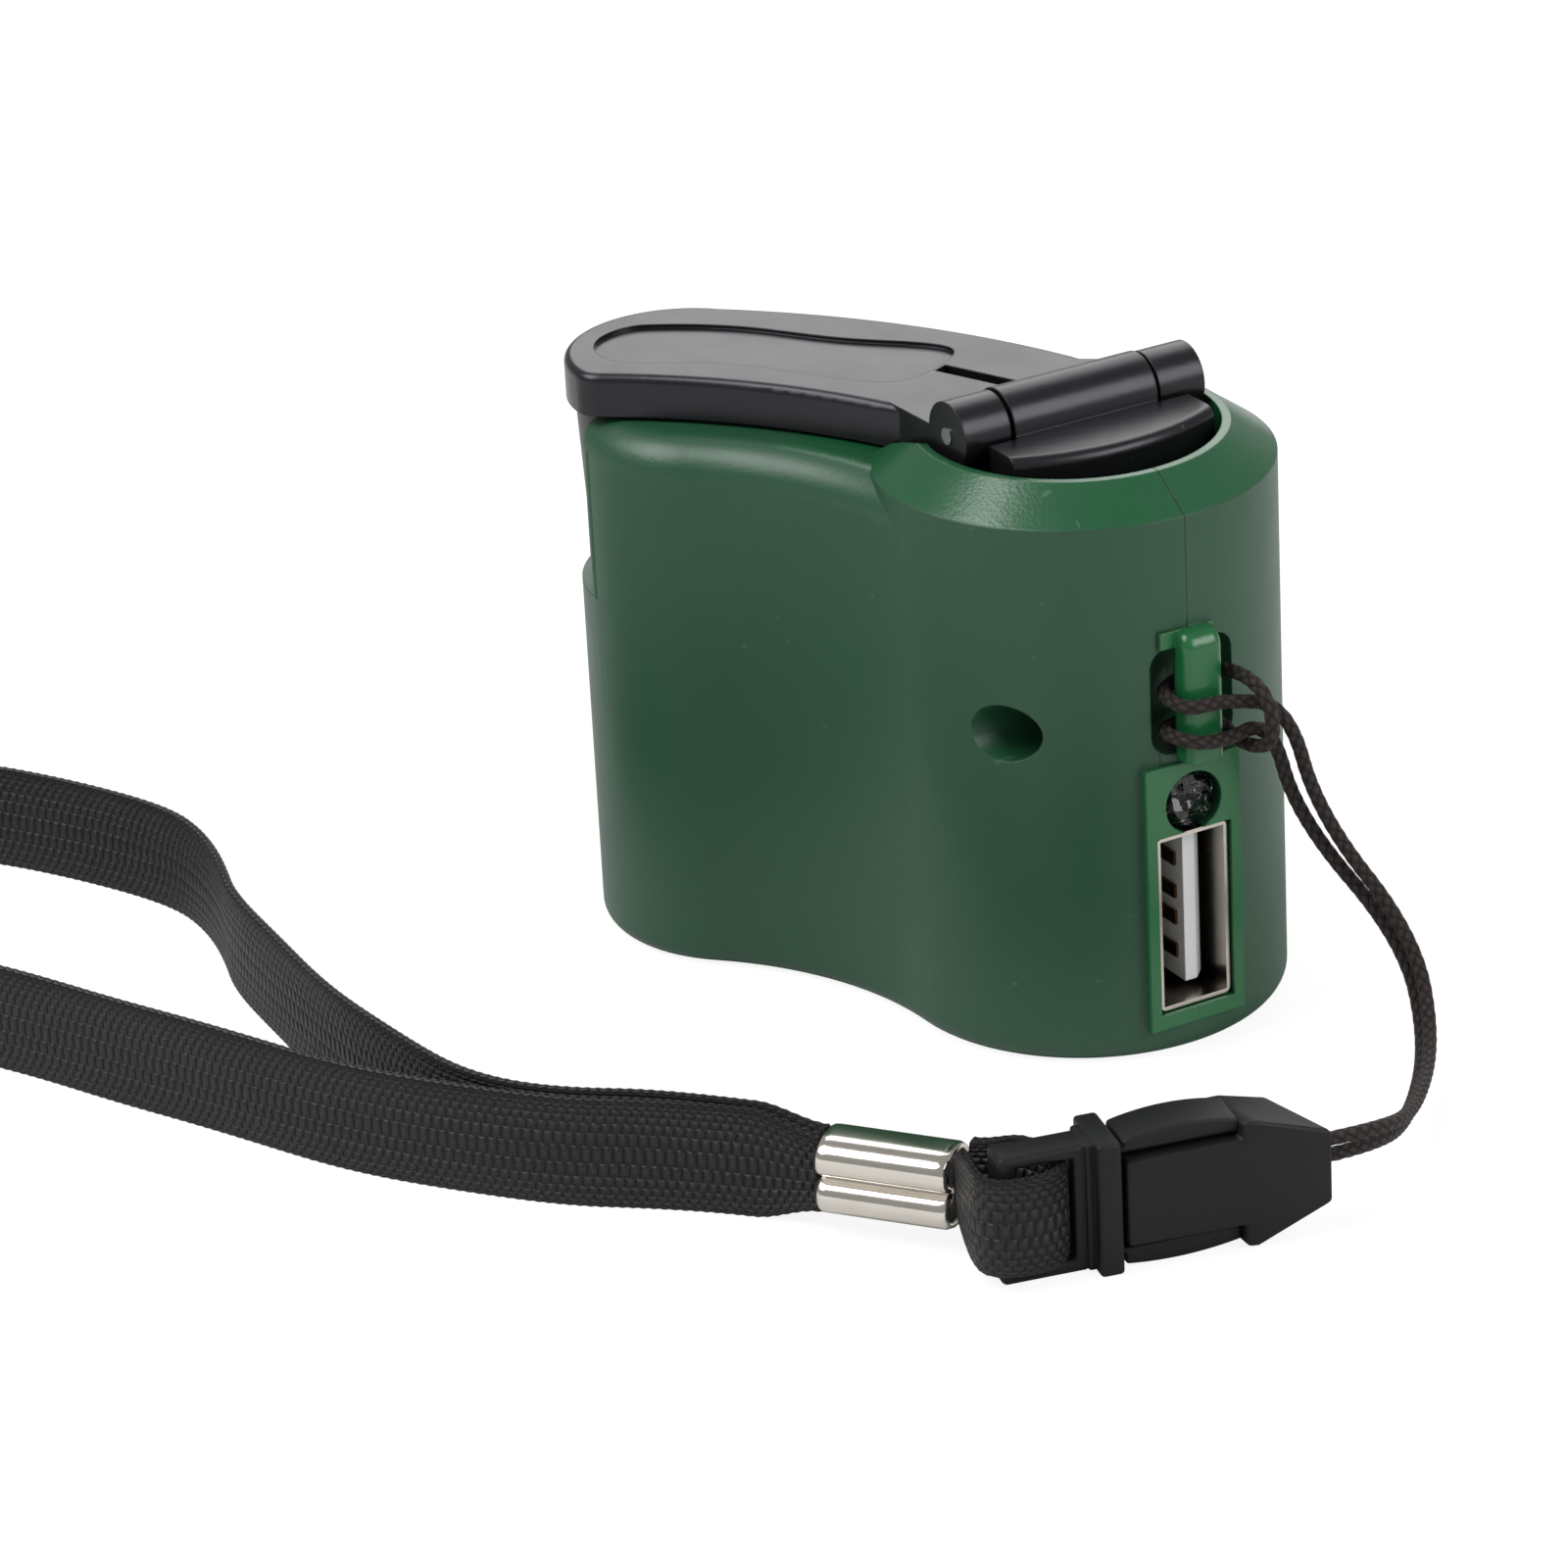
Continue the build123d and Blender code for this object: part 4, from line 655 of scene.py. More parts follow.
def frames_along(track, rows, on_edge):
    """Place, sideways and upward directions at each row.

    A tape stands on its edge. A round cord's sideways direction turns as little as it can.
    """
    frames = []
    side = None
    for row in range(rows + 1):
        distance = track.length * row / rows
        heading = track.heading(distance)
        if on_edge:
            side = heading.cross(Vector((0, 0, 1))).normalized()
        else:
            side = heading.orthogonal() if side is None else side
            side = (side - heading * side.dot(heading)).normalized()
        frames.append((track.at(distance), side, side.cross(heading).normalized()))
    return frames


def wrapped(columns, rows, place):
    """A grid closed into a tube: place(around, row) says where each of its vertices goes."""
    bm = bmesh.new()
    bm.loops.layers.uv.new("UVMap")
    bmesh.ops.create_grid(
        bm, x_segments=columns, y_segments=rows, size=0.5, calc_uvs=True
    )
    for vertex in bm.verts:
        row = round((vertex.co.y + 0.5) * rows)
        vertex.co = place(vertex.co.x + 0.5, row)
    bmesh.ops.remove_doubles(bm, verts=bm.verts, dist=0.0005 * MM)
    return bm


def sealed(bm):
    """Closes open ends and turns every face outwards."""
    rims = [edge for edge in bm.edges if edge.is_boundary]
    if rims:
        bmesh.ops.holes_fill(bm, edges=rims, sides=0)
    bmesh.ops.recalc_face_normals(bm, faces=bm.faces)
    return bm


def push(bm, faces, depth):
    """Pushes faces of the buckle across it, which leaves walls behind them."""
    pushed = bmesh.ops.extrude_face_region(bm, geom=faces)["geom"]
    moved = [item for item in pushed if isinstance(item, bmesh.types.BMVert)]
    shift = BUCKLE.to_3x3() @ Vector((0, 0, depth * MM))
    bmesh.ops.translate(bm, verts=moved, vec=shift)


def ring(bm, outline, depth):
    """The corners of an outline of the buckle, given in millimetres."""
    return [bm.verts.new(BUCKLE @ Vector((x * MM, y * MM, depth * MM))) for x, y in outline]


def soften(bm, width, angle=30, segments=3):
    """Rounds every edge that turns by more than the angle."""
    bmesh.ops.recalc_face_normals(bm, faces=bm.faces)
    sharp = [
        edge for edge in bm.edges
        if len(edge.link_faces) == 2 and edge.calc_face_angle(0) > math.radians(angle)
    ]
    bmesh.ops.bevel(
        bm, geom=sharp, offset=width, segments=segments, profile=0.5,
        affect="EDGES", material=-1, clamp_overlap=True,
    )


def merged(parts):
    """Several bmeshes as one."""
    whole = bmesh.new()
    for part in parts:
        mesh = bpy.data.meshes.new("part")
        part.to_mesh(mesh)
        part.free()
        whole.from_mesh(mesh)
        bpy.data.meshes.remove(mesh)
    return whole


# ---- Lanyard ----

def tape_section(around, width, thick):
    """A flat tape's rounded outline: height and depth for a share of the way round."""
    edge_power, face_power = 0.75, 0.32
    angle = 2 * math.pi * around
    up = -math.cos(angle)
    out = math.sin(angle)
    height = math.copysign(abs(up) ** edge_power, up) * width / 2
    depth = math.copysign(abs(out) ** face_power, out) * thick / 2
    return height, depth


def gather(distance, length, reach):
    """How far a tape is drawn together at its two ends: 1 at an end, 0 away from it."""
    end = min(distance, length - distance)
    share = max(0.0, 1 - end / reach)
    return share * share * (3 - 2 * share)


class CHARGER_OT_camera(bpy.types.Operator):
    """Place the camera where the product is seen from"""

    bl_idname = "charger.camera"
    bl_label = "Camera"

    def execute(self, context):
        data = bpy.data.cameras.new("camera")
        data.sensor_width = 36
        data.lens = 151.8
        data.clip_start = 0.01
        camera = bpy.data.objects.new("camera", data)
        right = Vector((0.49943, 0.86499, -0.04868))
        up = Vector((-0.33886, 0.24675, 0.9079))
        back = Vector((0.79733, -0.43694, 0.41635))
        place = Vector((0.35823, -0.22014, 0.20843))
        turn = Matrix((right, up, back)).transposed().to_4x4()
        camera.matrix_world = Matrix.Translation(place) @ turn
        context.scene.collection.objects.link(camera)
        context.scene.camera = camera
        return {"FINISHED"}


class CHARGER_OT_lanyard_cord(bpy.types.Operator):
    """Plait the thin cord that is hitched round the strap bar"""

    bl_idname = "charger.lanyard_cord"
    bl_label = "Lanyard Cord"

    def execute(self, context):
        sizes = context.scene.charger_sizes
        strands = sizes.cord_strands
        track = Track(smooth_line("cord_line", CORD_ROUTE))
        rows = round(track.length / (0.11 * MM))
        radius = sizes.cord_thickness / 2
        pitch = sizes.braid_pitch
        frames = frames_along(track, rows, on_edge=False)

        def place(around, row):
            spot, side, up = frames[row]
            turns = track.length * row / rows / pitch
            left = abs(math.sin(math.pi * (strands * around + turns)))
            right = abs(math.sin(math.pi * (strands * around - turns)))
            reach = radius * (0.9 + 0.1 * math.sqrt(left * right) + 0.04 * (left - right))
            angle = 2 * math.pi * around
            return spot + reach * (math.cos(angle) * side + math.sin(angle) * up)

        look = Finish("braided_cord", Specular_IOR_Level=0.25)
        plait = look.use(
            "Plaited Thread", Map=look.unrolled((strands, track.length / pitch, 1)),
            Colour=opaque(context.scene.charger_colours.cord),
        )
        look.feed(Base_Color=plait["Colour"], Roughness=plait["Roughness"])
        look.bump(plait["Height"], 0.09 * MM)
        look.shader.inputs["Sheen Weight"].default_value = 0.04
        bm = sealed(wrapped(28, rows, place))
        cord = finished("braided_cord", bm, look, "black_cord", "lanyard_cord")
        cord["centre_line"] = [list(point) for point in track.points[::2] + track.points[-1:]]
        return {"FINISHED"}


class CHARGER_OT_wrist_strap(bpy.types.Operator):
    """Weave the wrist strap, a loop whose two ends are held in the ferrule"""

    bl_idname = "charger.wrist_strap"
    bl_label = "Wrist Strap"

    def execute(self, context):
        sizes = context.scene.charger_sizes
        track = Track(smooth_line("strap_line", STRAP_ROUTE))
        rows = round(2 * track.length / sizes.rib_pitch)
        frames = frames_along(track, rows, on_edge=True)

        def place(around, row):
            spot, side, up = frames[row]
            distance = track.length * row / rows
            drawn = gather(distance, track.length, 5 * MM)
            width = sizes.webbing_width * (1 - 0.3 * drawn)
            thick = sizes.webbing_thickness * (1 + 0.5 * drawn)
            scallop = 0.07 * MM * (1 if row % 2 else -1)
            height, depth = tape_section(around, width + scallop, thick)
            ripple = 0.12 * MM * math.sin(distance / (3.1 * MM)) * (height / width) ** 2 * 4
            return spot + up * height + side * (depth + ripple)

        look = webbing_look(context, "wrist_webbing", track.length)
        bm = sealed(wrapped(36, rows, place))
        strap = finished("wrist_strap", bm, look, "black_webbing", "strap_loop")
        strap["centre_line"] = [list(point) for point in track.points[::3] + track.points[-1:]]
        return {"FINISHED"}


def webbing_look(context, name, length):
    """Ribbed nylon for a tape of that length."""
    sizes = context.scene.charger_sizes
    look = Finish(name, Specular_IOR_Level=0.36, Sheen_Weight=0.02, Sheen_Roughness=0.4)
    around = 2 * (sizes.webbing_width + sizes.webbing_thickness)
    yarns = (2 * round(around / sizes.yarn_width / 2), length / sizes.rib_pitch, 1)
    weave = look.use(
        "Ribbed Webbing", Map=look.unrolled(yarns),
        Colour=opaque(context.scene.charger_colours.webbing),
    )
    look.feed(Base_Color=weave["Colour"], Roughness=weave["Roughness"])
    look.bump(weave["Height"], 0.34 * MM)
    return look


class CHARGER_OT_webbing_loop(bpy.types.Operator):
    """Weave the short loop that ties the ferrule to the buckle's frame"""

    bl_idname = "charger.webbing_loop"
    bl_label = "Webbing Loop"

    def execute(self, context):
        sizes = context.scene.charger_sizes
        track = Track(smooth_line("loop_line", LOOP_ROUTE, 32))
        rows = round(3 * track.length / sizes.rib_pitch)
        frames = frames_along(track, rows, on_edge=True)

        def place(around, row):
            spot, side, up = frames[row]
            distance = track.length * row / rows
            drawn = gather(distance, track.length, 4 * MM)
            width = (sizes.webbing_width - 1 * MM) * (1 - 0.28 * drawn)
            thick = sizes.webbing_thickness * (0.9 + 0.5 * drawn)
            scallop = 0.05 * MM * math.sin(2 * math.pi * distance / sizes.rib_pitch)
            height, depth = tape_section(around, width + scallop, thick)
            return spot + up * height + side * depth

        look = webbing_look(context, "loop_webbing", track.length)
        bm = sealed(wrapped(36, rows, place))
        finished("buckle_webbing", bm, look, "black_webbing", "webbing_loop")
        return {"FINISHED"}


class CHARGER_OT_ferrule(bpy.types.Operator):
    """Press a tube into two lobes round the webbing"""

    bl_idname = "charger.ferrule"
    bl_label = "Ferrule"

    def execute(self, context):
        low, tall, long = 1.3 * MM, 5.6 * MM, 9.4 * MM
        lobe_middle, lobe_half, half_depth, power = 1.46 * MM, 1.46 * MM, 2.3 * MM, 2.4
        rows = 24
        lip, tuck_depth, shrink = 0.5 * MM, 0.16 * MM, 0.84

        def half_width(height):
            reach = 0.0
            for middle in (lobe_middle, tall - lobe_middle):
                away = min(abs(height - middle) / lobe_half, 1)
                reach = max(reach, half_depth * (1 - away ** power) ** (1 / power))
            return reach

        def section(around):
            angle = 2 * math.pi * around
            height = tall / 2 * (1 - math.cos(angle))
            return height, math.copysign(half_width(height), math.sin(angle))

        def place(around, row):
            height, depth = section(around)
            along = long * row / rows
            rim = min(along, long - along)
            tuck = tuck_depth * max(0.0, 1 - rim / lip) ** 2
            depth *= 1 - tuck / half_depth
            height = tall / 2 + (height - tall / 2) * (1 - tuck / (tall / 2))
            return FERRULE @ Vector((along, low + height, depth))

        bm = wrapped(120, rows, place)
        bmesh.ops.recalc_face_normals(bm, faces=bm.faces)
        thickness = context.scene.charger_sizes.ferrule_metal
        bmesh.ops.solidify(bm, geom=bm.faces[:], thickness=thickness)
        look = metal(
            "polished_chrome", context.scene.charger_colours.ferrule, 0.13,
            lines=700.0, depth=0.0008 * MM, spread=0.1,
        )
        finished("crimped_ferrule", bm, look, "chrome", "ferrule")

        def fill(around, row):
            height, depth = section(around)
            height = tall / 2 + (height - tall / 2) * shrink
            along = lip / 2 + (long - lip) * row / 16
            return FERRULE @ Vector((along, low + height, depth * shrink * 0.97))

        gathered = sealed(wrapped(72, 16, fill))
        nylon = webbing_look(context, "gathered_webbing", long)
        finished("gathered_webbing", gathered, nylon, "black_webbing")
        return {"FINISHED"}


class CHARGER_OT_buckle(bpy.types.Operator):
    """Mould both halves of the side release buckle"""

    bl_idname = "charger.buckle"
    bl_label = "Buckle"

    def execute(self, context):
        edge = context.scene.charger_sizes.buckle_edge
        look = plastic(
            "buckle_plastic", context.scene.charger_colours.buckle, 0.46,
            grain=5200.0, depth=0.007 * MM, spread=0.2, scratch=0.2, shine=0.26,
        )
        flange = self.block((-1.65, 0), (0, 9.6), (0, -5), edge)
        web = self.block((-2.2, -1.5), (0.2, 9.4), (-0.9, -4.1), edge * 0.8)
        guide = self.block((-0.4, 8.9), (3.4, 6.4), (-1.1, -3.9), edge)
        plug = merged([self.window_frame(edge), flange, web, *self.prongs(edge), guide])
        socket = self.socket_body(edge)
        finished("buckle_plug_half", plug, look, "black_matte", "buckle_plug")
        finished("buckle_socket_half", socket, look, "black_matte", "buckle_socket")
        return {"FINISHED"}

    def block(self, along, upward, across, edge):
        (left, right), (low, high), (near, far) = along, upward, across
        corners = (left, low), (right, low), (right, high), (left, high)
        bm = bmesh.new()
        push(bm, [bm.faces.new(ring(bm, corners, near))], far - near)
        soften(bm, edge)
        return bm

    def window_frame(self, edge):
        """Four bars round the opening for the webbing."""
        bm = bmesh.new()
        bmesh.ops.create_grid(bm, x_segments=3, y_segments=3, size=0.5)
        middle = min(bm.faces, key=lambda face: face.calc_center_median().length)
        bmesh.ops.delete(bm, geom=[middle], context="FACES_ONLY")
        along = (-8.0 * MM, -6.8 * MM, -2.9 * MM, -1.9 * MM)
        upward = (0.1 * MM, 1.0 * MM, 8.4 * MM, 9.3 * MM)
        for vertex in bm.verts:
            column = round((vertex.co.x + 0.5) * 3)
            row = round((vertex.co.y + 0.5) * 3)
            vertex.co = BUCKLE @ Vector((along[column], upward[row], -1.2 * MM))
        push(bm, bm.faces[:], -2.6)
        soften(bm, edge * 1.3)
        return bm

    def prongs(self, edge):
        """The two sprung prongs, bowed outwards between the flange and the socket's shoulders."""
        made = []
        steps = 12
        for root, crest, tip, inner, neck in (
            (9.25, 9.75, 9.3, 8.4, 8.8), (0.25, 0.05, 0.5, 1.5, 1.1),
        ):
            outline = [(-0.2, inner), (-0.2, neck), (0.3, neck)]
            for step in range(steps + 1):
                share = step / steps
                bow = root + (tip - root) * share
                bow += (crest - (root + tip) / 2) * 4 * share * (1 - share)
                outline.append((0.35 + 8.0 * share, bow))
            outline.append((8.35, inner))
            bm = bmesh.new()
            push(bm, [bm.faces.new(ring(bm, outline, -0.8))], -3.4)
            soften(bm, edge * 0.7, 32)
            made.append(bm)
        return made

    def socket_body(self, edge):
        """A sleeve with two shoulders, its end cut back on the far side."""
        near = [
            (0.3, 1.9), (8.5, 1.8), (8.5, 0.2), (9.3, 0.12), (14.5, 2.35), (14.5, 7.6),
            (9.3, 9.3), (8.4, 9.3), (8.4, 8.1), (0.3, 8.0),
        ]
        far = [
            (0.3, 1.9), (7.8, 1.8), (7.8, 0.2), (8.6, 0.12), (11.7, 1.5), (11.7, 8.3),
            (8.4, 9.1), (7.4, 9.1), (7.4, 8.1), (0.3, 8.0),
        ]
        bm = bmesh.new()
        front, back = ring(bm, near, 0), ring(bm, far, -5)
        bm.faces.new(front)
        bm.faces.new(back)
        for corner in range(len(near)):
            after = (corner + 1) % len(near)
            bm.faces.new((front[corner], front[after], back[after], back[corner]))
        soften(bm, edge)
        return bm


# ---- Charger ----

class CHARGER_OT_casing(bpy.types.Operator):
    """Finish the two green halves, with the seam between them and a painted sheen on the bezel, strap bar and rim"""

    bl_idname = "charger.casing"
    bl_label = "Casing"
    bar_top, rim_foot = 31.7 * MM, 39.75 * MM
    hub_wall, bezel_half = 13.98 * MM, 3.9 * MM
    lobe_start, waist = -10 * MM, -13.6 * MM

    def execute(self, context):
        colour = context.scene.charger_colours.casing
        seam = context.scene.charger_sizes.seam_width
        look = plastic(
            "green_casing", colour, 0.42, grain=3600.0, depth=0.008 * MM, spread=0.16, scratch=0.4,
            shine=0.62,
        )
        sheet = look.sheet
        x, y, z = sheet.separate(look.position)
        away = sheet.math("ABSOLUTE", y)
        on_seam = sheet.fade(away, 0.25 * seam, 0.6 * seam)
        above_bar = sheet.band(z, self.bar_top, self.bar_top + 0.2 * MM)
        far_side = sheet.fade(x, self.lobe_start, self.lobe_start + 1 * MM)
        line = sheet.math("MULTIPLY", on_seam, sheet.math("MAXIMUM", above_bar, far_side))
        shine = opaque(context.scene.charger_colours.casing_sheen)
        port_side, rim = self.polish_and_sheen(sheet, x, away, z)
        polish_and_sheen = sheet.math("MAXIMUM", port_side, rim)
        # Painted sheen: the casing's colour is mixed towards the lighter green, most on the port's bezel and strap
        # bar, less on the rim.
        share = sheet.math("MULTIPLY_ADD", port_side, 0.75, sheet.math("MULTIPLY", rim, 0.22))
        with_painted_sheen = sheet.mix(share, look.current("Base Color"), shine)
        dark = tuple(value * 0.22 for value in colour)
        look.feed(
            Base_Color=sheet.mix(line, with_painted_sheen, opaque(dark)),
            Roughness=sheet.math(
                "MULTIPLY_ADD", polish_and_sheen, -0.17, look.current("Roughness"), clamp=True
            ),
        )
        dress(look, "front_shell", "rear_shell")
        return {"FINISHED"}

    def polish_and_sheen(self, sheet, x, aside, z):
        """Where the mould was polished and where a painted sheen lightens the green: the port's bezel, the strap bar
        and the top rim.
        """
        proud = sheet.band(x, self.hub_wall, self.hub_wall + 0.08 * MM)
        middle = sheet.fade(aside, self.bezel_half, self.bezel_half + 0.2 * MM)
        high = sheet.band(z, self.rim_foot, self.rim_foot + 0.2 * MM)
        over_hub = sheet.band(x, self.waist, self.waist + 1.2 * MM)
        return sheet.math("MULTIPLY", proud, middle), sheet.math("MULTIPLY", high, over_hub)


class CHARGER_OT_crank(bpy.types.Operator):
    """Finish the crank's hub, arm and hinge pin"""

    bl_idname = "charger.crank"
    bl_label = "Crank"

    def execute(self, context):
        colours = context.scene.charger_colours
        gloss = plastic(
            "glossy_crank", colours.crank, 0.3, grain=2600.0, depth=0.004 * MM, scratch=0.6
        )
        gloss.shader.inputs["Specular Tint"].default_value = (0.93, 0.92, 1.0, 1)
        dress(gloss, "crank_hub", "crank_arm")
        dress(metal("pin_steel", srgb(178, 178, 176), 0.3), "hinge_pin", "hub_washer")
        return {"FINISHED"}


class CHARGER_OT_knob(bpy.types.Operator):
    """Finish the knob under the arm's tip"""

    bl_idname = "charger.knob"
    bl_label = "Knob"

    def execute(self, context):
        look = plastic(
            "knob_plastic", context.scene.charger_colours.knob, 0.38,
            grain=3000.0, depth=0.008 * MM, scratch=0.5,
        )
        dress(look, "knob")
        return {"FINISHED"}


class CHARGER_OT_socket(bpy.types.Operator):
    """Finish the USB socket's shell, tongue and contacts"""

    bl_idname = "charger.socket"
    bl_label = "USB Socket"

    def execute(self, context):
        colours = context.scene.charger_colours
        shell = metal(
            "socket_nickel", colours.socket_metal, 0.24, lines=2200.0, stretch=(0.1, 1, 1)
        )
        self.shade_inside(shell)
        dress(shell, "usb_shell")
        tongue = plastic(
            "socket_tongue", colours.tongue, 0.4, grain=5000.0, spread=0.08, scratch=0.2
        )
        dress(tongue, "usb_tongue")
        gold = metal("contact_gold", srgb(112, 88, 62), 0.3, lines=2600.0, stretch=(0.1, 1, 1))
        dress(gold, "usb_contacts")
        return {"FINISHED"}

    def shade_inside(self, shell):
        """Painted shade: the shell's colour darkens from its mouth inwards, as the shade in a deep box does."""
        sheet = shell.sheet
        depth = sheet.separate(shell.position)["X"]
        dark = sheet.math("MULTIPLY", sheet.fade(depth, 11.0 * MM, 13.9 * MM), 0.9)
        # The brown of the painted shade deep in the shell.
        inside_shade_colour = opaque(srgb(58, 46, 38))
        shell.feed(Base_Color=sheet.mix(dark, shell.current("Base Color"), inside_shade_colour))


class CHARGER_OT_light(bpy.types.Operator):
    """Finish the clear light emitting diode and its legs"""

    bl_idname = "charger.light"
    bl_label = "Light"

    def execute(self, context):
        look = Finish("clear_lens", IOR=1.55, Transmission_Weight=1.0)
        haze = look.use("Moulded Grain", Scale=900.0, Roughness=0.02, Spread=0.03)
        # Painted reflections: the lens's tint swings far lighter and darker in patches, standing in for the bright
        # highlights and dark spots seen in the clear lens.
        shade = look.use("Mottle", Colour=(0.9, 0.9, 0.92, 1), Scale=700.0, Spread=2.4)
        look.feed(Base_Color=shade["Colour"], Roughness=haze["Roughness"])
        look.bump(look.sheet.cells(look.position, 480.0), 1.1 * MM)
        dress(look, "led_lens")
        tin = metal("tinned_leads", srgb(196, 196, 194), 0.22, lines=2600.0, stretch=(0.1, 1, 1))
        dress(tin, "led_legs")
        return {"FINISHED"}


class CHARGER_OT_fasteners(bpy.types.Operator):
    """Finish the screws, the pillars, the axles and the rotor's shaft"""

    bl_idname = "charger.fasteners"
    bl_label = "Fasteners"

    def execute(self, context):
        zinc = metal("screw_zinc", srgb(150, 146, 138), 0.34, lines=3500.0)
        dress(zinc, "case_screw", "plate_screws", "hub_screw", "knob_screw")
        bright = metal("turned_steel", srgb(190, 190, 188), 0.22, lines=5000.0, stretch=(1, 1, 6))
        dress(bright, "plate_pillars", "gear_axles", "rotor_shaft")
        return {"FINISHED"}


class CHARGER_OT_gears(bpy.types.Operator):
    """Finish the gear train and its plates"""

    bl_idname = "charger.gears"
    bl_label = "Gears"

    def execute(self, context):
        acetal = plastic(
            "gear_acetal", context.scene.charger_colours.gears, 0.42,
            grain=4000.0, spread=0.1, scratch=0.2,
        )
        dress(acetal, "main_gear", "first_gear", "second_gear")
        brass = metal("pinion_brass", srgb(196, 160, 86), 0.28, lines=4000.0, stretch=(1, 1, 0.2))
        dress(brass, "rotor_pinion")
        plate = metal("plate_steel", srgb(172, 172, 170), 0.36, lines=1800.0, stretch=(0.1, 1, 1))
        dress(plate, "lower_plate", "upper_plate")
        return {"FINISHED"}


class CHARGER_OT_generator(bpy.types.Operator):
    """Finish the generator's can, magnets, rotor and windings"""

    bl_idname = "charger.generator"
    bl_label = "Generator"

    def execute(self, context):
        can = metal("can_zinc", srgb(182, 182, 178), 0.3, lines=1600.0, stretch=(1, 1, 0.2))
        dress(can, "generator_can")
        cap = plastic("cap_plastic", srgb(222, 219, 208), 0.45, grain=4200.0, spread=0.1)
        dress(cap, "generator_cap")
        ferrite = plastic("ferrite", srgb(52, 50, 50), 0.62, grain=2400.0, depth=0.02 * MM)
        dress(ferrite, "generator_magnets")
        copper = metal("commutator_copper", srgb(201, 128, 88), 0.26, lines=3000.0)
        dress(copper, "commutator", "generator_terminals")
        self.laminations()
        self.enamel()
        return {"FINISHED"}

    def laminations(self):
        """Thin stacked sheets of iron."""
        look = metal("iron_sheets", srgb(112, 110, 106), 0.42, lines=2400.0)
        look.bump(look.sheet.layers(look.position, 320.0), 0.06 * MM)
        dress(look, "rotor_core")

    def enamel(self):
        """Turns of enamelled copper wire."""
        look = metal("enamelled_copper", srgb(186, 92, 48), 0.3, lines=1200.0)
        look.bump(look.sheet.layers(look.position, 700.0, 1.2), 0.12 * MM)
        look.shader.inputs["Coat Weight"].default_value = 0.6
        dress(look, "rotor_windings")


class CHARGER_OT_electronics(bpy.types.Operator):
    """Finish the circuit board, the components on it and the generator's wires"""

    bl_idname = "charger.electronics"
    bl_label = "Electronics"

    def execute(self, context):
        mask = context.scene.charger_colours.board
        board = plastic("solder_mask", mask, 0.32, grain=3600.0, spread=0.15)
        sheet = board.sheet
        tracks = sheet.cells(
            board.position, 420.0, feature="DISTANCE_TO_EDGE", distance="MANHATTAN"
        )
        share = sheet.math("MULTIPLY", sheet.fade(tracks, 0.04, 0.07), 0.7)
        over = opaque(tuple(min(1, value * 1.9) for value in mask))
        board.feed(Base_Color=sheet.mix(share, board.current("Base Color"), over))
        dress(board, "circuit_board")
        epoxy = plastic("black_epoxy", srgb(34, 34, 36), 0.42, grain=5200.0)
        dress(epoxy, "diodes", "regulator_chip")
        sleeve = plastic("capacitor_sleeve", srgb(30, 40, 74), 0.3, grain=3000.0)
        dress(sleeve, "capacitor")
        for name, colour in (
            ("generator_wire_red", srgb(170, 28, 26)), ("generator_wire_black", srgb(28, 28, 30)),
        ):
            dress(plastic(name + "_skin", colour, 0.38, grain=4000.0), name)
        return {"FINISHED"}


class CHARGER_OT_stage(bpy.types.Operator):
    """Lay the pale floor and set the soft lights"""

    bl_idname = "charger.stage"
    bl_label = "Stage"

    def execute(self, context):
        self.floor(context)
        self.world(context)
        lamps = (
            ("key", (-0.15, -0.55, 0.75), 0.6, 7.0),
            ("side", (0.65, 0.35, 0.45), 0.5, 3.4),
            ("back", (-0.6, 0.45, 0.55), 0.7, 3.4),
        )
        for name, place, size, power in lamps:
            self.lamp(context, name, Vector(place), size, power)
        context.scene.view_settings.view_transform = "Standard"
        return {"FINISHED"}

    def floor(self, context):
        bm = bmesh.new()
        bmesh.ops.create_grid(bm, x_segments=1, y_segments=1, size=4.0)
        mesh = bpy.data.meshes.new("floor")
        bm.to_mesh(mesh)
        bm.free()
        look = Finish(
            "pale_floor", Base_Color=(0.68, 0.68, 0.68, 1), Roughness=0.9, Specular_IOR_Level=0.0
        )
        sheet = look.sheet
        white = sheet.add("ShaderNodeEmission", {"Color": (1, 1, 1, 1), "Strength": 1.17})
        seen = sheet.add("ShaderNodeLightPath").outputs["Is Camera Ray"]
        share = sheet.math("MULTIPLY", seen, 0.76)
        blend = sheet.add(
            "ShaderNodeMixShader", {0: share, 1: look.shader.outputs[0], 2: white.outputs[0]}
        )
        surface = sheet.tree.nodes["Material Output"].inputs["Surface"]
        sheet.tree.links.new(blend.outputs[0], surface)
        mesh.materials.append(look.material)
        floor = bpy.data.objects.new("floor", mesh)
        context.scene.collection.objects.link(floor)
        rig.stage(floor)

    def world(self, context):
        world = bpy.data.worlds.new("studio")
        world.use_nodes = True
        context.scene.world = world
        background = world.node_tree.nodes["Background"]
        background.inputs["Color"].default_value = (1, 1, 1, 1)
        background.inputs["Strength"].default_value = 0.32

    def lamp(self, context, name, place, size, power):
        data = bpy.data.lights.new(name, "AREA")
        data.shape = "SQUARE"
        data.size = size
        data.energy = power
        lamp = bpy.data.objects.new(name, data)
        turn = (-place).to_track_quat("-Z", "Y").to_matrix().to_4x4()
        lamp.matrix_world = Matrix.Translation(place) @ turn
        context.scene.collection.objects.link(lamp)


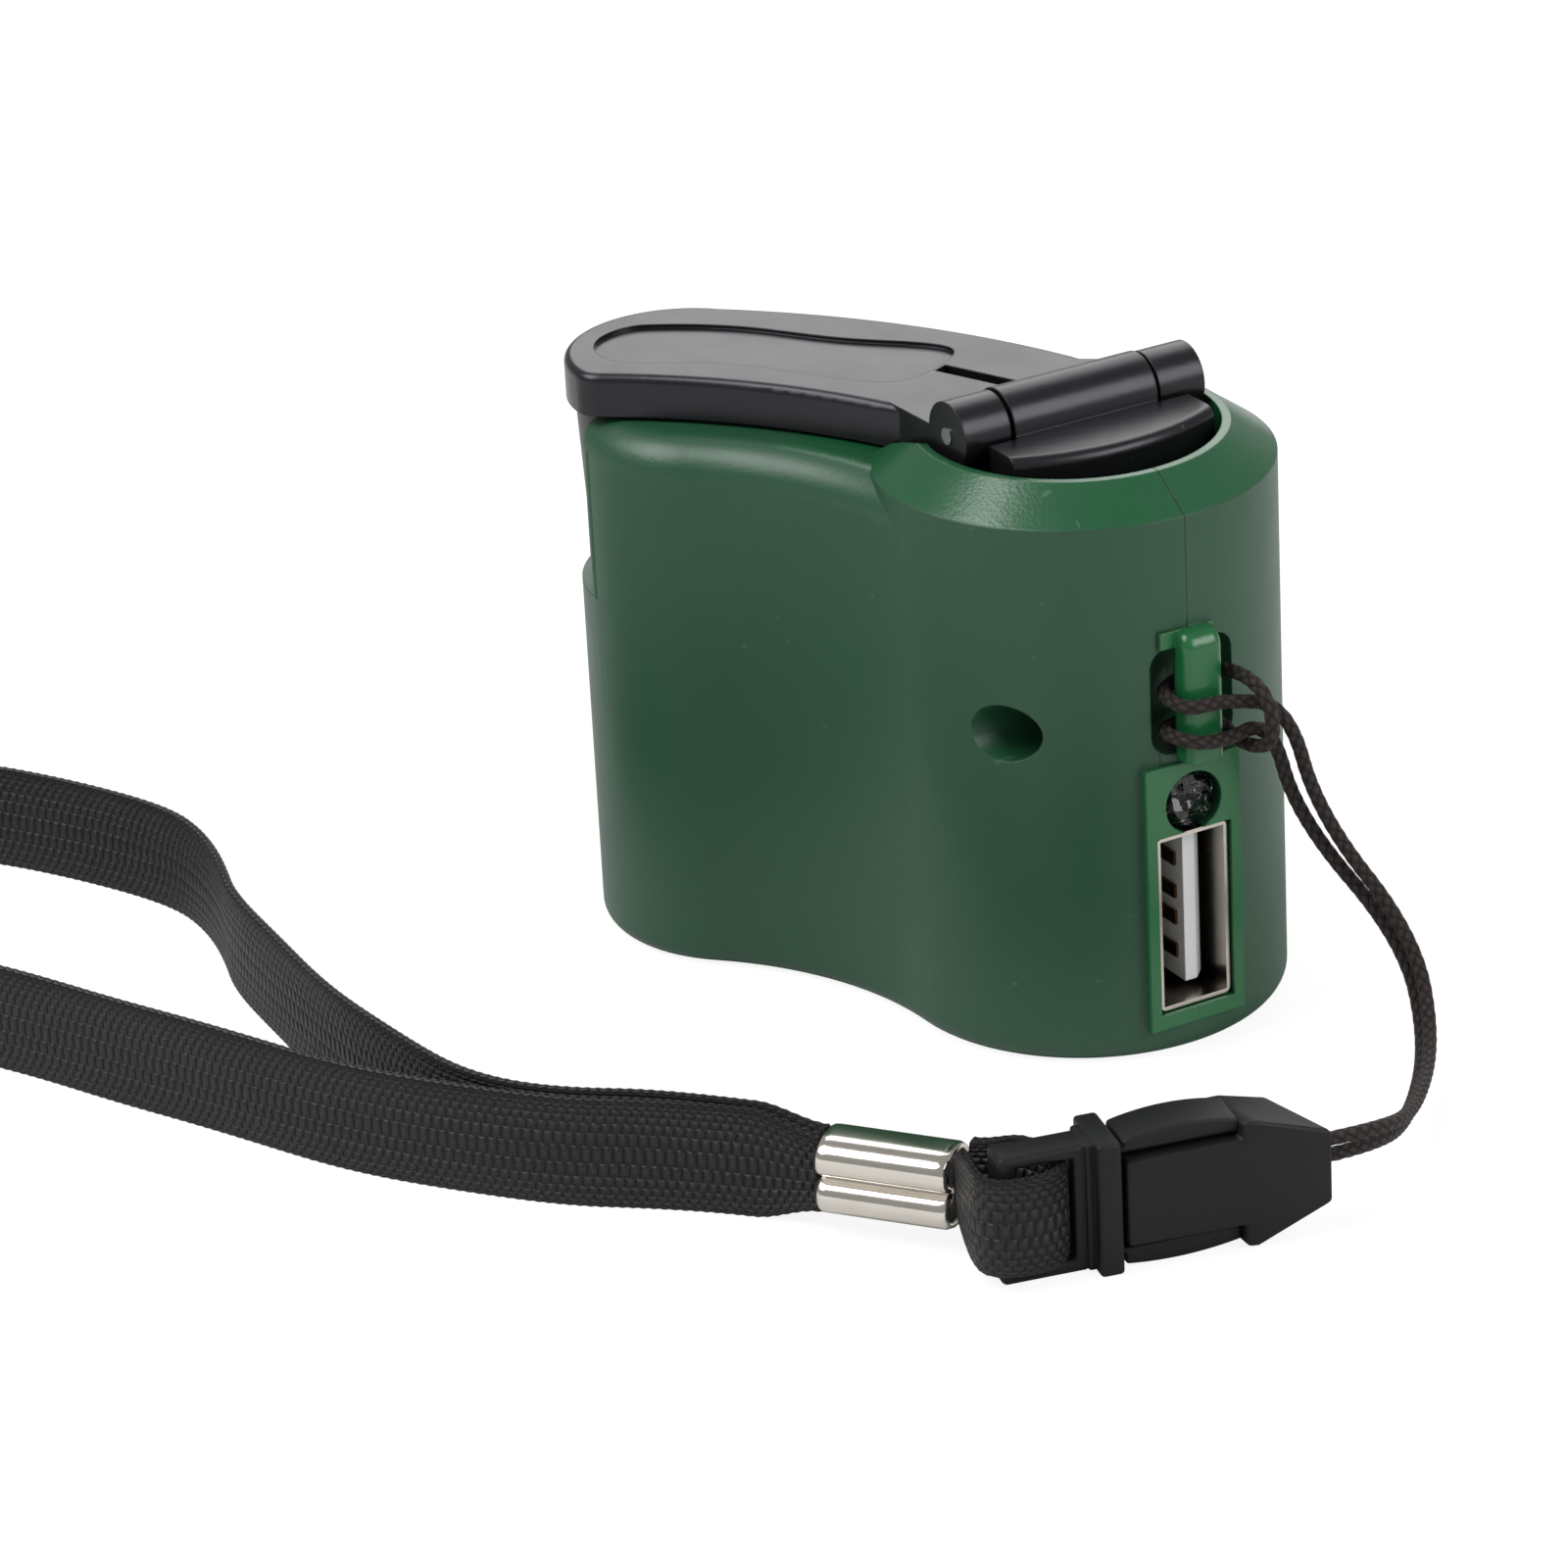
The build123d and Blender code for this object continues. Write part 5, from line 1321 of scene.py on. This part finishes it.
class CHARGER_OT_declare_lanyard(bpy.types.Operator):
    """State the real length and thickness of the cord and of the strap"""

    bl_idname = "charger.declare_lanyard"
    bl_label = "Lanyard Lengths"

    def execute(self, context):
        sizes = context.scene.charger_sizes
        for name, values in (
            ("braided_cord", dict(
                exit=CORD_EXIT, diameter=sizes.cord_thickness, far_end="fitting",
                with_pieces=[
                    "buckle_socket_half", "buckle_plug_half", "buckle_webbing",
                    "crimped_ferrule", "gathered_webbing",
                ],
            )),
            ("wrist_strap", dict(
                exit=STRAP_EXIT, diameter=sizes.webbing_width, far_end="object",
            )),
        ):
            piece = bpy.data.objects[name]
            line = [list(point) for point in piece["centre_line"]]
            length = sum(math.dist(a, b) for a, b in zip(line, line[1:]))
            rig.cord(piece, length=length, stiffness="limp", lay="loose", path=line, **values)
            del piece["centre_line"]
        return {"FINISHED"}


class CHARGER_PT_sidebar(bpy.types.Panel):
    """Lists the charger's pieces, sizes and colours"""

    bl_label = "Hand Crank Charger"
    bl_idname = "CHARGER_PT_sidebar"
    bl_space_type = "VIEW_3D"
    bl_region_type = "UI"
    bl_category = "Charger"

    def draw(self, context):
        layout = self.layout
        for group in (context.scene.charger_sizes, context.scene.charger_colours):
            box = layout.box()
            for name in group.bl_rna.properties.keys():
                if name not in ("rna_type", "name"):
                    box.prop(group, name)
        for operator in OPERATORS:
            layout.operator(operator.bl_idname)


EFFECTS = (
    build_mottle, build_grain, build_scratches, build_dust, build_brushed, build_weave,
    build_braid,
)
OPERATORS = (
    CHARGER_OT_camera, CHARGER_OT_lanyard_cord, CHARGER_OT_wrist_strap, CHARGER_OT_webbing_loop,
    CHARGER_OT_ferrule, CHARGER_OT_buckle, CHARGER_OT_declare_lanyard, CHARGER_OT_casing,
    CHARGER_OT_crank, CHARGER_OT_knob, CHARGER_OT_socket, CHARGER_OT_light,
    CHARGER_OT_fasteners, CHARGER_OT_gears, CHARGER_OT_generator, CHARGER_OT_electronics,
    CHARGER_OT_stage,
)
CLASSES = (ChargerSizes, ChargerColours, *OPERATORS, CHARGER_PT_sidebar)


def register():
    for cls in CLASSES:
        bpy.utils.register_class(cls)
    bpy.types.Scene.charger_sizes = PointerProperty(type=ChargerSizes)
    bpy.types.Scene.charger_colours = PointerProperty(type=ChargerColours)


def unregister():
    del bpy.types.Scene.charger_colours
    del bpy.types.Scene.charger_sizes
    for cls in reversed(CLASSES):
        bpy.utils.unregister_class(cls)


def main():
    register()
    for build_effect in EFFECTS:
        build_effect()
    bpy.ops.charger.camera()
    bpy.ops.charger.lanyard_cord()
    bpy.ops.charger.wrist_strap()
    bpy.ops.charger.webbing_loop()
    bpy.ops.charger.ferrule()
    bpy.ops.charger.buckle()
    bpy.ops.charger.declare_lanyard()
    bpy.ops.charger.casing()
    bpy.ops.charger.crank()
    bpy.ops.charger.knob()
    bpy.ops.charger.socket()
    bpy.ops.charger.light()
    bpy.ops.charger.fasteners()
    bpy.ops.charger.gears()
    bpy.ops.charger.generator()
    bpy.ops.charger.electronics()
    bpy.ops.charger.stage()
    with open("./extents.json", "w") as report:
        boxes = {"cad": CAD_BOX, "visual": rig.bounds()}
        plain = {name: [list(corner) for corner in box] for name, box in boxes.items()}
        json.dump(plain, report)


if __name__ == "__main__":
    main()
